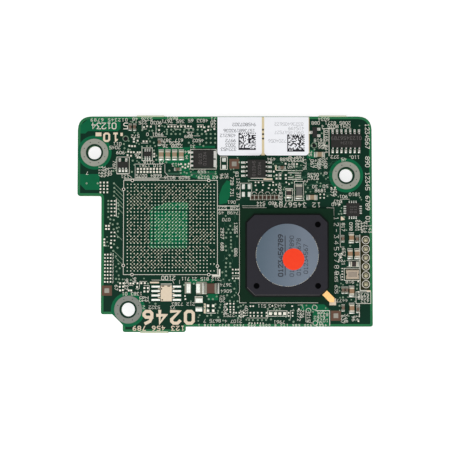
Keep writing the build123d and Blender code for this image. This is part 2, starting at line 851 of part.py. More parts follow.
# Connector housing: base under the board, a rim around the contacts, two pegs into the board
cavity_length = connector_length - 2 * connector_end
cavity_width = connector_width - 2 * connector_wall
cavity_depth = connector_height - connector_base
contact_columns = int(cavity_length / contact_pitch)
contact_rows = int(cavity_width / contact_pitch)
with BuildPart() as connector_housing:
    with BuildSketch():
        with Locations((connector_x, connector_y)):
            Rectangle(connector_length, connector_width)
    extrude(amount=connector_height)
    with BuildSketch():
        with Locations((connector_x, connector_y)):
            Rectangle(cavity_length, cavity_width)
    extrude(amount=cavity_depth, mode=Mode.SUBTRACT)
    with BuildSketch(Plane.XY.offset(connector_height)):
        with Locations(*peg_places):
            Circle(peg_d / 2)
    extrude(amount=board_thickness - peg_below_face)
connector_housing.part.label = "connector_housing"
export_step(connector_housing.part, "parts/connector_housing.step")

# Contact blades standing on the base inside the rim
contact_places = [(connector_x + dx, connector_y + dy) for dx in row(contact_columns, contact_pitch)
                  for dy in row(contact_rows, contact_pitch)]
with BuildPart() as connector_contacts:
    with BuildSketch(Plane.XY.offset(contact_below_rim)):
        with Locations(*contact_places):
            Rectangle(contact_thickness, contact_width)
    extrude(amount=cavity_depth - contact_below_rim)
connector_contacts.part.label = "connector_contacts"
export_step(connector_contacts.part, "parts/connector_contacts.step")
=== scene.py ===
# %% [markdown]
# # A network card, dressed for its picture
# The solids of this card come from a CAD model: the board, the chips, the small parts and the
# connector. This lesson gives them their finishes and adds what is too thin to be a solid: copper
# areas, solder, drilled holes, printed lines and numbers. All of it is made from numbers in
# millimetres, in the same frame as the CAD model.

# %% Load the frame
import math
import random

import bpy
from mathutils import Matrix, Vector


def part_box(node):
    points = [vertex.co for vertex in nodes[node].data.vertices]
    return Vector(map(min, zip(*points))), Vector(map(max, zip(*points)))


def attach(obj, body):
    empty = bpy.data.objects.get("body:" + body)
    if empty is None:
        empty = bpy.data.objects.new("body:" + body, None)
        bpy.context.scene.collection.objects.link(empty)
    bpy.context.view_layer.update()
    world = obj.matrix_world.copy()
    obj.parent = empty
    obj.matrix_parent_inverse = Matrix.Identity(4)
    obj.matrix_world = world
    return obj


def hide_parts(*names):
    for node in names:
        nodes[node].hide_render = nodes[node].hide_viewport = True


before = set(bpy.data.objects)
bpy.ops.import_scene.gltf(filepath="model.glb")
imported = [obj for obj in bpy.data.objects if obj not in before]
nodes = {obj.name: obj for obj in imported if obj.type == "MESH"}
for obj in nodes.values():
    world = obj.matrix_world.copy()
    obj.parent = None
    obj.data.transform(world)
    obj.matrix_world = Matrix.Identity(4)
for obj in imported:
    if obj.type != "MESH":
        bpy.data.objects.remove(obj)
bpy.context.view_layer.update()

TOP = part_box("circuit_board")[1].z * 1000
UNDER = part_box("circuit_board")[0].z * 1000
print(len(nodes), "nodes; the board lies between", round(UNDER, 2), "and", round(TOP, 2), "mm")

# %% [markdown]
# ## Shader sums
# A finish is a small network of nodes. Placing each node by hand takes many lines, so one class
# wraps a socket: plain Python sums on it add Math nodes, and its `node` method adds any other kind.

# %% A socket that can be used in sums
class Wire:
    """An output of a shader node. Sums with it add Math nodes to the same tree."""

    def __init__(self, tree, socket=None):
        self.tree = tree
        self.socket = socket

    def node(self, kind, settings, inputs, out=0):
        made = self.tree.nodes.new("ShaderNode" + kind)
        for key, value in settings.items():
            setattr(made, key, value)
        for key, value in inputs.items():
            if isinstance(value, Wire):
                self.tree.links.new(value.socket, made.inputs[key])
            else:
                made.inputs[key].default_value = value
        return Wire(self.tree, made.outputs[out])

    def sum(self, operation, a, b=0.0):
        return self.node("Math", {"operation": operation}, {0: a, 1: b})

    def __add__(self, other):
        return self.sum("ADD", self, other)

    def __radd__(self, other):
        return self.sum("ADD", other, self)

    def __sub__(self, other):
        return self.sum("SUBTRACT", self, other)

    def __rsub__(self, other):
        return self.sum("SUBTRACT", other, self)

    def __mul__(self, other):
        return self.sum("MULTIPLY", self, other)

    def __rmul__(self, other):
        return self.sum("MULTIPLY", other, self)

    def __gt__(self, other):
        return self.sum("GREATER_THAN", self, other)

    def __lt__(self, other):
        return self.sum("LESS_THAN", self, other)

    def noise(self, scale, detail=2.0):
        """Soft spots between 0 and 1; the scale counts them per metre."""
        return self.node("TexNoise", {}, {"Vector": self, "Scale": scale, "Detail": detail})

    def mix(self, a, b):
        """Colour a where this value is 0, colour b where it is 1."""
        return self.node("Mix", {"data_type": "RGBA"}, {0: self, 6: a, 7: b}, 2)


def srgb(red, green, blue):
    """A colour as it is read from a screen, 0 to 255, turned into the light that Blender counts in."""
    parts = [c / 255 for c in (red, green, blue)]
    return [c / 12.92 if c <= 0.04045 else ((c + 0.055) / 1.055) ** 2.4 for c in parts] + [1.0]


print("white is", srgb(255, 255, 255))

# %% [markdown]
# ## One recipe for most finishes
# Solder mask, moulded plastic, paper, ceramic and metal differ in colour, in gloss and in how large
# their uneven spots are. So one function makes them all: two colours blended by soft noise, a
# roughness that wanders a little, and a bump so shallow that it only breaks up the gloss. Bent leads
# look darker on their slopes, and plated metal mirrors a room that is not equally bright; the finish
# paints this in, with a colour for sloping faces that is painted shade and, on plated metal, a tint
# that sets in along X or Y and is a painted reflection.

# %% The finish recipe
GRAIN_DEPTH = 0.00002
LEVEL = 0.97


def start_finish(name):
    """A new material, and the place on the object by which its noise is laid out."""
    made = bpy.data.materials.new(name)
    made.use_nodes = True
    return made, Wire(made.node_tree).node("TexCoord", {}, {}, "Object")


def facing_up(tree):
    """How far a face looks up: 1 for a level face, 0 for an upright one."""
    normal = Wire(tree).node("NewGeometry", {}, {}, "Normal")
    return Wire(tree).node("SeparateXYZ", {}, {0: normal}, "Z")


def end_finish(made, colour, roughness, grain, bump, gloss):
    """Links what varies over the surface to the shader, and sets how strongly it mirrors."""
    tree = made.node_tree
    shader = tree.nodes["Principled BSDF"]
    relief = Wire(tree).node("Bump", {}, {"Height": grain, "Strength": bump, "Distance": GRAIN_DEPTH})
    for name, wire in (("Base Color", colour), ("Roughness", roughness), ("Normal", relief)):
        tree.links.new(wire.socket, shader.inputs[name])
    shader.inputs["Specular IOR Level"].default_value = gloss
    return made


def finish(name, dark, light, spots, rough, metal=0.0, gloss=0.3, grain=6000, bump=0.15,
           painted_slope_shade=None, zone=None):
    """A finish between two screen colours, with painted shade on slopes. A zone is an axis, a limit and a
    width in metres, and a tint.
    """
    made, place = start_finish(name)
    tree = made.node_tree
    large, fine = place.noise(spots, 3.0), place.noise(grain, 1.0)
    colour = (large * 0.7 + fine * 0.3).mix(srgb(*dark), srgb(*light))
    # Painted shade: faces that do not look straight up take the darker slope colour.
    if painted_slope_shade:
        colour = (facing_up(tree) < LEVEL).mix(colour, srgb(*painted_slope_shade))
    # A tint that sets in along X or Y; on the plated disc and the lands it is a painted reflection, on the
    # tan ceramic it tints the parts beyond X = 30 mm.
    if zone:
        axis, limit, width, tint = zone
        along = Wire(tree).node("SeparateXYZ", {}, {0: place}, axis)
        span = {"Value": along, "From Min": limit - width / 2, "From Max": limit + width / 2}
        beyond = Wire(tree).node("MapRange", {}, span)
        tinting = {"data_type": "RGBA", "blend_type": "MULTIPLY"}
        colour = Wire(tree).node("Mix", tinting, {0: beyond, 6: colour, 7: tint}, 2)
    roughness = rough + (large - 0.5) * 0.15 + (fine - 0.5) * 0.1
    tree.nodes["Principled BSDF"].inputs["Metallic"].default_value = metal
    return end_finish(made, colour, roughness, fine, bump, gloss)


print("a face counts as level while its normal points up by more than", LEVEL)

# %% Finishes of the card's parts
# The cap's sloping sides take a darker colour: painted shade.
mould = finish("mould_cap_painted_slope_shade", (33, 32, 38), (43, 42, 48), 400, 0.55, gloss=0.1, grain=9000, bump=0.35,
               painted_slope_shade=(24, 28, 27))
package = finish("mould_package", (33, 33, 31), (50, 49, 47), 900, 0.5, gloss=0.1, grain=12000, bump=0.4)
chip_laminate = finish("chip_laminate", (10, 36, 22), (17, 46, 30), 500, 0.4, gloss=0.04)
# The disc grows brighter towards +X: a painted reflection.
slug_metal = finish("plated_slug_painted_reflection", (65, 77, 88), (85, 99, 111), 70, 0.45, metal=0.75, gloss=0.3,
                    zone=("X", 0.0165, 0.012, (1.75, 1.52, 1.47, 1)))
gold = finish("gold_plating", (218, 166, 98), (236, 192, 134), 700, 0.3, metal=0.8)
# Lands above Y = 0 are lighter: a painted reflection.
land_metal = finish("tinned_land_painted_reflection", (97, 100, 95), (123, 126, 119), 900, 0.45, metal=0.6,
                    zone=("Y", 0.0, 0.001, (1.6, 1.57, 1.5, 1)))
target_metal = finish("tinned_target", (118, 115, 106), (148, 145, 135), 900, 0.45, metal=0.6)
solder = finish("solder", (170, 172, 165), (224, 226, 218), 1500, 0.3, metal=0.75)
# Also the colour of the painted glints on the metal disc's edge.
tin = finish("tinned_ends", (164, 159, 144), (204, 199, 183), 1500, 0.35, metal=0.4)
pad_tin = finish("tinned_pads", (192, 187, 174), (231, 227, 214), 1500, 0.4, metal=0.5)
dull_tin = finish("dull_ends", (96, 97, 85), (144, 144, 131), 2500, 0.45, metal=0.5)
# Sloping faces of the leads take a darker grey: painted shade for a dark room mirrored in them.
lead_metal = finish("tinned_leads_painted_slope_shade", (176, 176, 170), (224, 224, 217), 1200, 0.33, metal=0.75,
                    painted_slope_shade=(112, 112, 106))
tan = finish("tan_ceramic", (132, 114, 89), (164, 144, 118), 900, 0.5, gloss=0.2,
             zone=("X", 0.03, 0.001, (1.0, 0.82, 0.74, 1)))
small_ceramic = finish("brown_small_ceramic", (84, 66, 54), (134, 114, 98), 500, 0.5, gloss=0.15)
row_ceramic = finish("dark_brown_ceramic", (46, 32, 25), (70, 52, 43), 900, 0.5, gloss=0.1)
film = finish("dark_film", (42, 35, 33), (62, 53, 50), 900, 0.4, gloss=0.15)
brown = finish("brown_ceramic", (78, 54, 44), (97, 69, 58), 700, 0.5, gloss=0.15)
ferrite = finish("grey_ferrite", (72, 74, 70), (100, 102, 98), 600, 0.4, gloss=0.2)
crystal_case = finish("glazed_ceramic", (176, 159, 137), (200, 183, 161), 900, 0.35)
crystal_metal = finish("plated_lid", (119, 109, 97), (148, 137, 124), 700, 0.35, metal=0.7)
red_paper = finish("red_paper", (243, 56, 26), (250, 74, 40), 900, 0.7, gloss=0.15, bump=0.3)
white_paper = finish("white_paper", (239, 240, 245), (247, 248, 251), 600, 0.6, gloss=0.15, bump=0.2)
plastic = finish("connector_plastic", (18, 18, 20), (32, 32, 34), 500, 0.5, gloss=0.08, bump=0.3)
print(len(bpy.data.materials), "materials so far")

# %% [markdown]
# ## The board's own finish
# A circuit board is glass laminate under a thin green lacquer. Its faces show the lacquer, dark over
# copper, and its cut edges show the paler laminate. Both belong to one solid, so the material asks
# which way each face looks: the edges are the faces whose normal lies level.

# %% Green lacquer and laminate
def board_finish(name, dark, light, edge_dark, edge_light):
    made, place = start_finish(name)
    up = facing_up(made.node_tree)
    edge = up.sum("ABSOLUTE", up) < 0.5
    weave, patch = place.noise(2600, 1.0), place.noise(140, 3.0)
    face = (patch * 0.75 + weave * 0.25).mix(srgb(*dark), srgb(*light))
    laminate = place.noise(1800, 3.0).mix(srgb(*edge_dark), srgb(*edge_light))
    roughness = 0.38 + edge * 0.3 + (patch - 0.5) * 0.12
    return end_finish(made, edge.mix(face, laminate), roughness, weave, 0.12, 0.05)


lacquer = board_finish("green_lacquer", (7, 39, 27), (16, 54, 39), (60, 112, 70), (132, 160, 104))
print("the board wears", lacquer.name)

# %% [markdown]
# ## Finishes of the thin layers
# Lacquer looks brighter over clear laminate and paler over copper, bare tin is bright, and print is a
# matt ink. All of them could be one shader with many masks, but a material for each layer is easier
# to tune against the photograph. They use the recipe again, with other numbers.

# %% Finishes of copper, print and holes
pour_green = finish("lacquer_over_laminate", (8, 85, 53), (17, 106, 69), 300, 0.4, gloss=0.05)
rim_green = finish("lacquer_at_the_rim", (30, 99, 60), (50, 122, 79), 200, 0.4, gloss=0.05)
trace_green = finish("lacquer_over_traces", (34, 74, 57), (62, 94, 76), 700, 0.4, gloss=0.08)
bare_laminate = finish("bare_laminate", (180, 186, 158), (212, 218, 194), 900, 0.7, gloss=0.15)
rust_laminate = finish("bare_brown_laminate", (88, 64, 52), (110, 83, 68), 900, 0.6, gloss=0.1)
ink = finish("white_print", (212, 208, 194), (236, 233, 222), 1500, 0.6, gloss=0.1)
cream_ink = finish("cream_print", (214, 196, 171), (232, 216, 193), 1500, 0.6, gloss=0.1)
dark_hole = finish("drilled_hole", (10, 14, 11), (22, 28, 22), 1500, 0.7, gloss=0.1)
grey_ink = finish("grey_paper_print", (66, 68, 74), (98, 100, 106), 1500, 0.7, gloss=0.1)
black_ink = finish("black_paper_print", (26, 26, 30), (48, 48, 54), 1500, 0.7, gloss=0.1)
slug_ink = finish("slug_print", (44, 46, 52), (66, 70, 78), 1500, 0.6, gloss=0.1)
# Also the colour of the painted highlight along the cap's lower edge.
laser_mark_and_highlight = finish("laser_mark_and_highlight", (84, 80, 80), (112, 107, 106), 1500, 0.65, gloss=0.1)
tan_paper = finish("tan_backing", (206, 188, 146), (226, 211, 174), 900, 0.7, gloss=0.1)
hole_lacquer = finish("lacquer_over_rings", (114, 138, 116), (156, 174, 152), 900, 0.5, gloss=0.1)
track_lacquer = finish("lacquer_over_pad_tracks", (130, 129, 112), (160, 156, 137), 900, 0.5, gloss=0.1)
grid_tin = finish("tinned_grid_pads", (206, 205, 188), (240, 238, 222), 1500, 0.4, metal=0.4)
centre_tin = finish("pale_green_pads", (206, 226, 208), (234, 244, 230), 1500, 0.4, gloss=0.15)
centre_track = finish("lacquer_over_centre_tracks", (124, 154, 120), (156, 178, 144), 900, 0.5, gloss=0.1)
frame_green = finish("lacquer_over_frame", (9, 50, 36), (16, 62, 45), 300, 0.4, gloss=0.05)
# Near-black for the floors of the cap's dimples: painted shade.
dimple_shade_paint = finish("dimple_painted_shade", (5, 5, 6), (10, 10, 12), 900, 0.8, gloss=0.0)
header_ground = finish("ground_of_header", (34, 35, 20), (50, 50, 31), 900, 0.5, gloss=0.05)
pin_drop = finish("pin_solder_drop", (136, 130, 104), (184, 178, 152), 1200, 0.35, metal=0.5)
print(len(bpy.data.materials), "materials")

# %% [markdown]
# ## Dressing the CAD nodes
# Each node keeps its shape and gets its finish. Moulded and plated parts have no knife edges, so
# they also get a Weld and a narrow Bevel modifier, which leave the mesh itself as it is.

# %% Finishes on the nodes
worn = {
    lacquer: ["circuit_board"],
    land_metal: ["hole_lands_top"],
    target_metal: ["align_targets"],
    solder: ["pin_solder", "chip_balls", "bare_pads"],
    chip_laminate: ["chip_substrate"],
    mould: ["chip_cap"],
    slug_metal: ["chip_slug"],
    gold: ["chip_gate", "connector_contacts"],
    red_paper: ["dot_label"],
    white_paper: ["label_left", "label_right"],
    package: ["logic_body", "flash_body", "regulator_body", "buffer_body", "transistor_body",
              "switch_body", "clock_body"],
    lead_metal: ["logic_leads", "flash_leads", "regulator_leads", "buffer_leads", "transistor_leads",
                 "switch_contacts", "clock_contacts"],
    crystal_case: ["crystal_case"],
    crystal_metal: ["crystal_lid"],
    tan: ["capacitor_bodies", "under_bodies"],
    small_ceramic: ["small_bodies"],
    film: ["resistor_bodies"],
    ferrite: ["inductor_body"],
    brown: ["bulk_body"],
    tin: ["capacitor_ends", "resistor_ends", "inductor_ends", "under_ends"],
    dull_tin: ["small_ends", "bulk_ends"],
    plastic: ["connector_housing"],
}
for material, names in worn.items():
    for name in names:
        nodes[name].data.materials.clear()
        nodes[name].data.materials.append(material)
print("dressed", sum(len(names) for names in worn.values()), "of", len(nodes), "nodes")


# %% Softened edges
def soften(name, width, steps=2):
    weld = nodes[name].modifiers.new("weld", "WELD")
    weld.merge_threshold = 1e-6
    bevel = nodes[name].modifiers.new("soft_edges", "BEVEL")
    bevel.width = width / 1000
    bevel.segments = steps
    bevel.limit_method = "ANGLE"
    bevel.angle_limit = math.radians(35)


for name in worn[tin] + worn[dull_tin] + worn[tan] + worn[small_ceramic]:
    soften(name, 0.06)
for name in worn[package] + ["bulk_body", "inductor_body", "resistor_bodies", "crystal_lid"]:
    soften(name, 0.05)
for name in ("chip_cap", "chip_slug", "chip_substrate", "connector_housing"):
    soften(name, 0.05)
for name in ("logic_leads", "flash_leads"):
    soften(name, 0.03, 1)
print("softened", sum(1 for o in nodes.values() if o.modifiers), "nodes")

# %% [markdown]
# ## Flat shapes
# Copper, solder and print are thin shapes on a flat board. A layer collects many of them in one
# mesh, because thousands of small objects would be slow. Heights are counted from the board's face,
# so the same code also dresses the underside. Print and stamped marks lie a skin's height above what
# carries them.

# %% Outlines and strips of faces
def circle(x, y, radius, sides):
    turns = [2 * math.pi * (i + 0.5) / sides for i in range(sides)]
    return [(x + radius * math.cos(t), y + radius * math.sin(t)) for t in turns]


def box_outline(x0, y0, x1, y1):
    return [(x0, y0), (x1, y0), (x1, y1), (x0, y1)]


def strip(count, a, b):
    """Faces between two closed rows of points, whose first points are numbers a and b."""
    return [[a + i, a + (i + 1) % count, b + (i + 1) % count, b + i] for i in range(count)]


print("a ring of four sides has the faces", strip(4, 4, 0))

# %% Flat shapes for one mesh
SKIN, STAMP = 0.004, 0.006


class Shapes:
    """Thin shapes for one mesh, in millimetres: x, y and the height above the board's face."""

    def __init__(self, under=False, base=None):
        self.points = []
        self.faces = []
        self.hair = 0
        self.under = under
        self.base = TOP if base is None else base

    def add(self, points, faces):
        start = len(self.points)
        self.points += points
        self.faces += [[start + i for i in face] for face in faces]

    def sheet(self, outline, height):
        """A flat face."""
        self.add([(x, y, height) for x, y in outline], [list(range(len(outline)))])

    def slab(self, x0, y0, x1, y1, high):
        """A flat face with sides that reach down to the board."""
        corners = box_outline(x0, y0, x1, y1)
        points = [(x, y, high) for x, y in corners] + [(x, y, 0.0) for x, y in corners]
        self.add(points, [[0, 1, 2, 3]] + strip(4, 4, 0))

    def disc(self, x, y, radius, height, sides=10):
        self.sheet(circle(x, y, radius, sides), height)

    def dome(self, x, y, radius, high, sides=10):
        """A low drop of solder."""
        points = []
        for share, rise in ((1.0, 0.0), (0.82, 0.62), (0.45, 0.95)):
            points += [(px, py, rise * high) for px, py in circle(x, y, share * radius, sides)]
        top = list(range(2 * sides, 3 * sides))
        self.add(points, [top] + strip(sides, 0, sides) + strip(sides, sides, 2 * sides))

    def ring(self, x, y, inner, outer, height, sides=16):
        points = circle(x, y, inner, sides) + circle(x, y, outer, sides)
        self.add([(px, py, height) for px, py in points], strip(sides, sides, 0))

    def piece(self, name, material, slot, smooth=False):
        """The finished mesh, which rides on the card."""
        sign = -1 if self.under else 1
        base = UNDER if self.under else self.base
        mesh = bpy.data.meshes.new(name)
        points = [(x / 1000, y / 1000, (base + sign * h) / 1000) for x, y, h in self.points]
        mesh.from_pydata(points, [], [face[::sign] for face in self.faces])
        mesh.materials.append(material)
        for face in mesh.polygons:
            face.use_smooth = smooth
        made = bpy.data.objects.new(name, mesh)
        bpy.context.scene.collection.objects.link(made)
        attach(made, "root")
        print(name, "has", len(mesh.polygons), "faces")
        return made


print("flat shapes lie", round(Shapes().base, 2), "mm above the floor")

# %% Layers with pen strokes and solder feet
HAIR, HAIRS = 0.0012, 9


class Layer(Shapes):
    """Flat shapes, and besides them strokes along a path and solder that runs down from an end."""

    def line(self, points, width, height):
        """A pen stroke along a path: one strip with mitred corners. It rises a little along the way, and
        nine strokes in turn each start a hair higher, so that crossing strokes seldom share a plane."""
        closed = points[0] == points[-1]
        path = [Vector(p) for p in (points[:-1] if closed else points)]
        n = len(path)
        self.hair = (self.hair + 1) % HAIRS
        edges = []
        for i, here in enumerate(path):
            ahead = (path[(i + 1) % n] - here) if closed or i < n - 1 else None
            behind = (here - path[i - 1]) if closed or i > 0 else None
            a = (behind or ahead).normalized()
            b = (ahead or behind).normalized()
            if not closed and i in (0, n - 1):
                here = here + (a if i else -a) * width / 2
            side = Vector((-a.y - b.y, a.x + b.x)) * width / 2 / max(1 + a.dot(b), 0.5)
            rise = height + HAIR * self.hair + HAIR / 2 * i
            edges += [(*(here - side), rise), (*(here + side), rise)]
        ends = n if closed else n - 1
        faces = []
        for i in range(ends):
            j = (i + 1) % n
            faces.append([2 * i, 2 * j, 2 * j + 1, 2 * i + 1])
        self.add(edges, faces)

    def frame(self, x0, y0, x1, y1, width, height):
        self.line([(x0, y0), (x1, y0), (x1, y1), (x0, y1), (x0, y0)], width, height)

    def foot(self, x, y, step, width, reach, climb):
        """Solder that runs down from a metal end at (x, y) to the rim of its pad."""
        sx, sy = step
        points = []
        for share in (0.0, 0.2, 0.45, 0.7, 1.0):
            rise = 0.03 + climb * (1 - share) ** 2
            half = width / 2 * (1 + 0.1 * share)
            for side, high in ((-1, 0.02), (-0.85, rise), (0.85, rise), (1, 0.02)):
                out, over = reach * share, side * half
                points.append((x + sx * out - sy * over, y + sy * out + sx * over, high))
        faces = [[4 * i + j + 1, 4 * i + j, 4 * i + j + 4, 4 * i + j + 5] for i in range(4) for j in range(3)]
        self.add(points, faces)


print("strokes that follow each other differ in height by", HAIR, "mm")

# %% [markdown]
# ## Where the solids are
# Pads and solder belong to the ends and leads of the CAD parts. Their places are read from the nodes
# themselves: a node that holds many solids is taken apart into the boxes around each of them.

# %% Boxes of separate solids
def solids(node):
    """Boxes (x0, y0, x1, y1) around the separate solids of a node, in millimetres."""
    mesh = nodes[node].data
    spots = [tuple(round(c * 1e6) for c in v.co) for v in mesh.vertices]
    parent = {s: s for s in spots}

    def root(s):
        while parent[s] != s:
            parent[s] = parent[parent[s]]
            s = parent[s]
        return s

    for face in mesh.polygons:
        first = root(spots[face.vertices[0]])
        for v in face.vertices:
            parent[root(spots[v])] = first
    groups = {}
    for s in parent:
        groups.setdefault(root(s), []).append(s)
    boxes = []
    for group in groups.values():
        xs = [s[0] / 1000 for s in group]
        ys = [s[1] / 1000 for s in group]
        boxes.append((min(xs), min(ys), max(xs), max(ys)))
    return sorted(boxes)


def flat_box(node):
    """The box (x0, y0, x1, y1) around a whole node, in millimetres."""
    low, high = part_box(node)
    return (low.x * 1000, low.y * 1000, high.x * 1000, high.y * 1000)


def top_of(node):
    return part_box(node)[1].z * 1000


def middle(box):
    return ((box[0] + box[2]) / 2, (box[1] + box[3]) / 2)


def step_from(box, body):
    """The step along X or Y that leads from a body out to one of its ends or leads."""
    (x, y), (bx, by) = middle(box), middle(body)
    dx = (x - bx) / (body[2] - body[0])
    dy = (y - by) / (body[3] - body[1])
    if abs(dx) > abs(dy):
        return (math.copysign(1, dx), 0)
    return (0, math.copysign(1, dy))


print(len(solids("capacitor_ends")), "capacitor ends and", len(solids("logic_leads")), "logic leads")

# %% [markdown]
# ## A map of taken places
# Loose pads, drilled holes and numbers crowd the free parts of the board. To keep them from lying
# on each other, a set of small squares remembers what is taken.

# %% Squares that are taken
CELL = 0.2
taken = set()


def squares(x0, y0, x1, y1):
    for i in range(math.floor(x0 / CELL), math.floor(x1 / CELL) + 1):
        for j in range(math.floor(y0 / CELL), math.floor(y1 / CELL) + 1):
            yield (i, j)


def take(x0, y0, x1, y1):
    taken.update(squares(x0, y0, x1, y1))


def free(x0, y0, x1, y1):
    return not any(square in taken for square in squares(x0, y0, x1, y1))


upper_nodes = [n for n in nodes if top_of(n) > TOP + 0.01 and n not in ("circuit_board", "chip_balls")]
for name in upper_nodes:
    for x0, y0, x1, y1 in solids(name):
        take(x0 - CELL, y0 - CELL, x1 + CELL, y1 + CELL)
print(len(taken), "squares taken by the CAD parts")

# %% [markdown]
# ## The board's outline
# The lacquer is paler along the rim, where the copper inside the board stops short of the edge. The
# band is the outline and a copy of it moved inwards, joined face by face. Moving a corner inwards
# follows the sum of the two edge normals, and the corner's radius shrinks or grows with it.

# %% Outline with rounded corners
LEFT, RIGHT, UPPER, LOWER = -42.55, 42.55, 31.15, -31.15
outline = [
    (RIGHT, UPPER, 4.0), (LEFT, UPPER, 4.0), (LEFT, 8.1, 0.7), (-35.6, 8.1, -0.7), (-35.6, -26.05, 0.7),
    (-32.3, -26.05, 0.05), (-29.3, -29.05, 0.05), (-29.3, LOWER, 0.7), (-11.2, LOWER, 0.7),
    (-11.2, -29.6, -0.05), (RIGHT, -29.6, 0.7),
]


def inset(corners, depth):
    """The corners moved inwards, as (x, y, radius); hollow corners have a negative radius."""
    moved = []
    n = len(corners)
    for i, (x, y, radius) in enumerate(corners):
        before, after = Vector(corners[i - 1][:2]), Vector(corners[(i + 1) % n][:2])
        here = Vector((x, y))
        a, b = (here - before).normalized(), (after - here).normalized()
        na, nb = Vector((-a.y, a.x)), Vector((-b.y, b.x))
        spot = here + depth * (na + nb) / (1 + na.dot(nb))
        size = max(abs(radius) - depth, 0.05) if radius > 0 else abs(radius) + depth
        moved.append((spot.x, spot.y, size))
    return moved


def rounded(corners, steps=6):
    """Points along an outline. Each corner is a curve that starts and ends where its arc would."""
    points = []
    n = len(corners)
    for i, (x, y, radius) in enumerate(corners):
        here = Vector((x, y))
        a = (Vector(corners[i - 1][:2]) - here).normalized()
        b = (Vector(corners[(i + 1) % n][:2]) - here).normalized()
        cut = abs(radius) / math.tan(a.angle(b) / 2)
        for k in range(steps + 1):
            t = k / steps
            points.append(tuple(here + a * cut * (1 - t) ** 2 + b * cut * t ** 2))
    return points


BAND_MARGIN, BAND_DEPTH, BAND_HEIGHT = 0.02, 0.75, 0.004
rim, inner = rounded(inset(outline, BAND_MARGIN)), rounded(inset(outline, BAND_DEPTH))


def add_band(layer):
    layer.add([(x, y, BAND_HEIGHT) for x, y in rim + inner], strip(len(rim), 0, len(rim)))


band = Layer()
add_band(band)
band.piece("edge_band", rim_green, "board")

# %% [markdown]
# ## Areas without copper
# Where inner layers have no copper, the lacquer lies on clear laminate and looks bright green. These
# areas could be patches in the lacquer's shader, but a sheet with a measured outline is easier to
# place and has a sharp edge. Around each mounting hole the bright ring is cut off at the board's edge.
# Where the card was broken out of its panel, the stubs of the bridges show bare laminate.

# %% Bright green areas
pours = Layer()
POUR, HOLE_POUR, STUB = 0.005, 0.006, 0.007
bright = [
    [(-41.8, 26.2), (-40.4, 26.2), (-39.6, 26.9), (-31.0, 26.9), (-30.2, 27.6), (-30.2, 30.4),
     (-39.5, 30.4), (-41.8, 28.6)],
    [(-41.8, 11.4), (-40.2, 9.8), (-36.2, 9.8), (-36.2, 14.4), (-41.8, 14.4)],
    [(-19.3, 17.9), (-15.3, 17.4), (-13.4, 15.2), (-10.1, 15.2), (-10.1, 22.2), (-19.3, 22.2)],
    [(-13.0, 14.2), (-7.0, 12.9), (-2.2, 12.9), (-2.2, 15.3), (-13.0, 15.0)],
    [(-1.55, 5.6), (0.6, 6.0), (1.6, 8.3), (1.7, 12.2), (0.6, 12.6), (-0.7, 10.8), (-1.55, 8.4)],
    box_outline(-20.5, -6.0, -10.6, 3.85),
    [(-20.5, 4.0), (-10.6, 4.0), (-10.6, 5.9), (-11.0, 6.2), (-16.6, 6.2), (-18.2, 5.5), (-20.5, 4.8)],
    box_outline(-21.6, -6.0, -20.6, 4.0), box_outline(-21.6, -6.95, -10.85, -6.15),
    [(25.3, -28.9), (30.0, -28.9), (30.0, -24.6), (28.6, -23.2), (21.8, -23.2), (21.8, -25.0), (25.3, -25.2)],
    box_outline(-4.9, -22.0, -1.9, -20.2), box_outline(-10.6, -17.2, -3.0, -15.9),
    box_outline(-10.2, 21.9, -2.8, 22.6), box_outline(23.8, 19.0, 26.0, 21.4),
]
for shape in bright:
    pours.sheet(shape, POUR)
holes = [(-37.68, 20.65), (35.1, 14.0), (-27.75, -24.7)]
LAND, CLEAR, KEEP_OUT, SIDES = 3.9, 4.95, 4.9, 40
bevel_sum = sum(outline[5][:2])
for x, y in holes:
    inside, outside = circle(x, y, LAND, SIDES), circle(x, y, CLEAR, SIDES)
    for i, (px, py) in enumerate(outside):
        over = max(0.0, bevel_sum + 0.1 - px - py) / 2
        outside[i] = (max(px + over, LEFT + 0.05), py + over)
    pours.add([(px, py, HOLE_POUR) for px, py in inside + outside], strip(SIDES, SIDES, 0))
    take(x - KEEP_OUT, y - KEEP_OUT, x + KEEP_OUT, y + KEEP_OUT)
pours.piece("bright_areas", pour_green, "board")

stubs = Layer()
for box in ((-25.5, 31.05, -17.5, 31.43), (27.3, 31.05, 35.3, 31.43), (-24.25, -31.43, -16.25, -30.9)):
    stubs.sheet(box_outline(*box), STUB)
stubs.piece("broken_bridges", bare_laminate, "board")

# %% [markdown]
# ## Pads and solder of the parts
# A reflow oven melts solder paste under every end and lead. The solder climbs the metal and leaves
# a hollow slope, which catches the light beside each part. So each end gets a pad and such a foot. In
# one row of small capacitors the ends are dull, so it has neither.

# %% Solder under ends and leads
pads = Layer()
feet = Layer()
PAD = 0.03


def pad_under(box, step, width, reach, depth):
    """A pad from a little under the metal to a little past it."""
    x, y = middle(box)
    sx, sy = step
    tip_x = x + sx * (box[2] - box[0]) / 2
    tip_y = y + sy * (box[3] - box[1]) / 2
    ends = ((tip_x - sx * depth, tip_y - sy * depth), (tip_x + sx * reach, tip_y + sy * reach))
    wx, wy = abs(sy) * width / 2, abs(sx) * width / 2
    x0, x1 = sorted((ends[0][0], ends[1][0]))
    y0, y1 = sorted((ends[0][1], ends[1][1]))
    pads.slab(x0 - wx, y0 - wy, x1 + wx, y1 + wy, PAD)
    take(x0 - wx - 0.1, y0 - wy - 0.1, x1 + wx + 0.1, y1 + wy + 0.1)
    return tip_x, tip_y


def width_across(box, step):
    """The width of an end or lead, square to the step that leads out to it."""
    return (box[2] - box[0]) if step[0] == 0 else (box[3] - box[1])


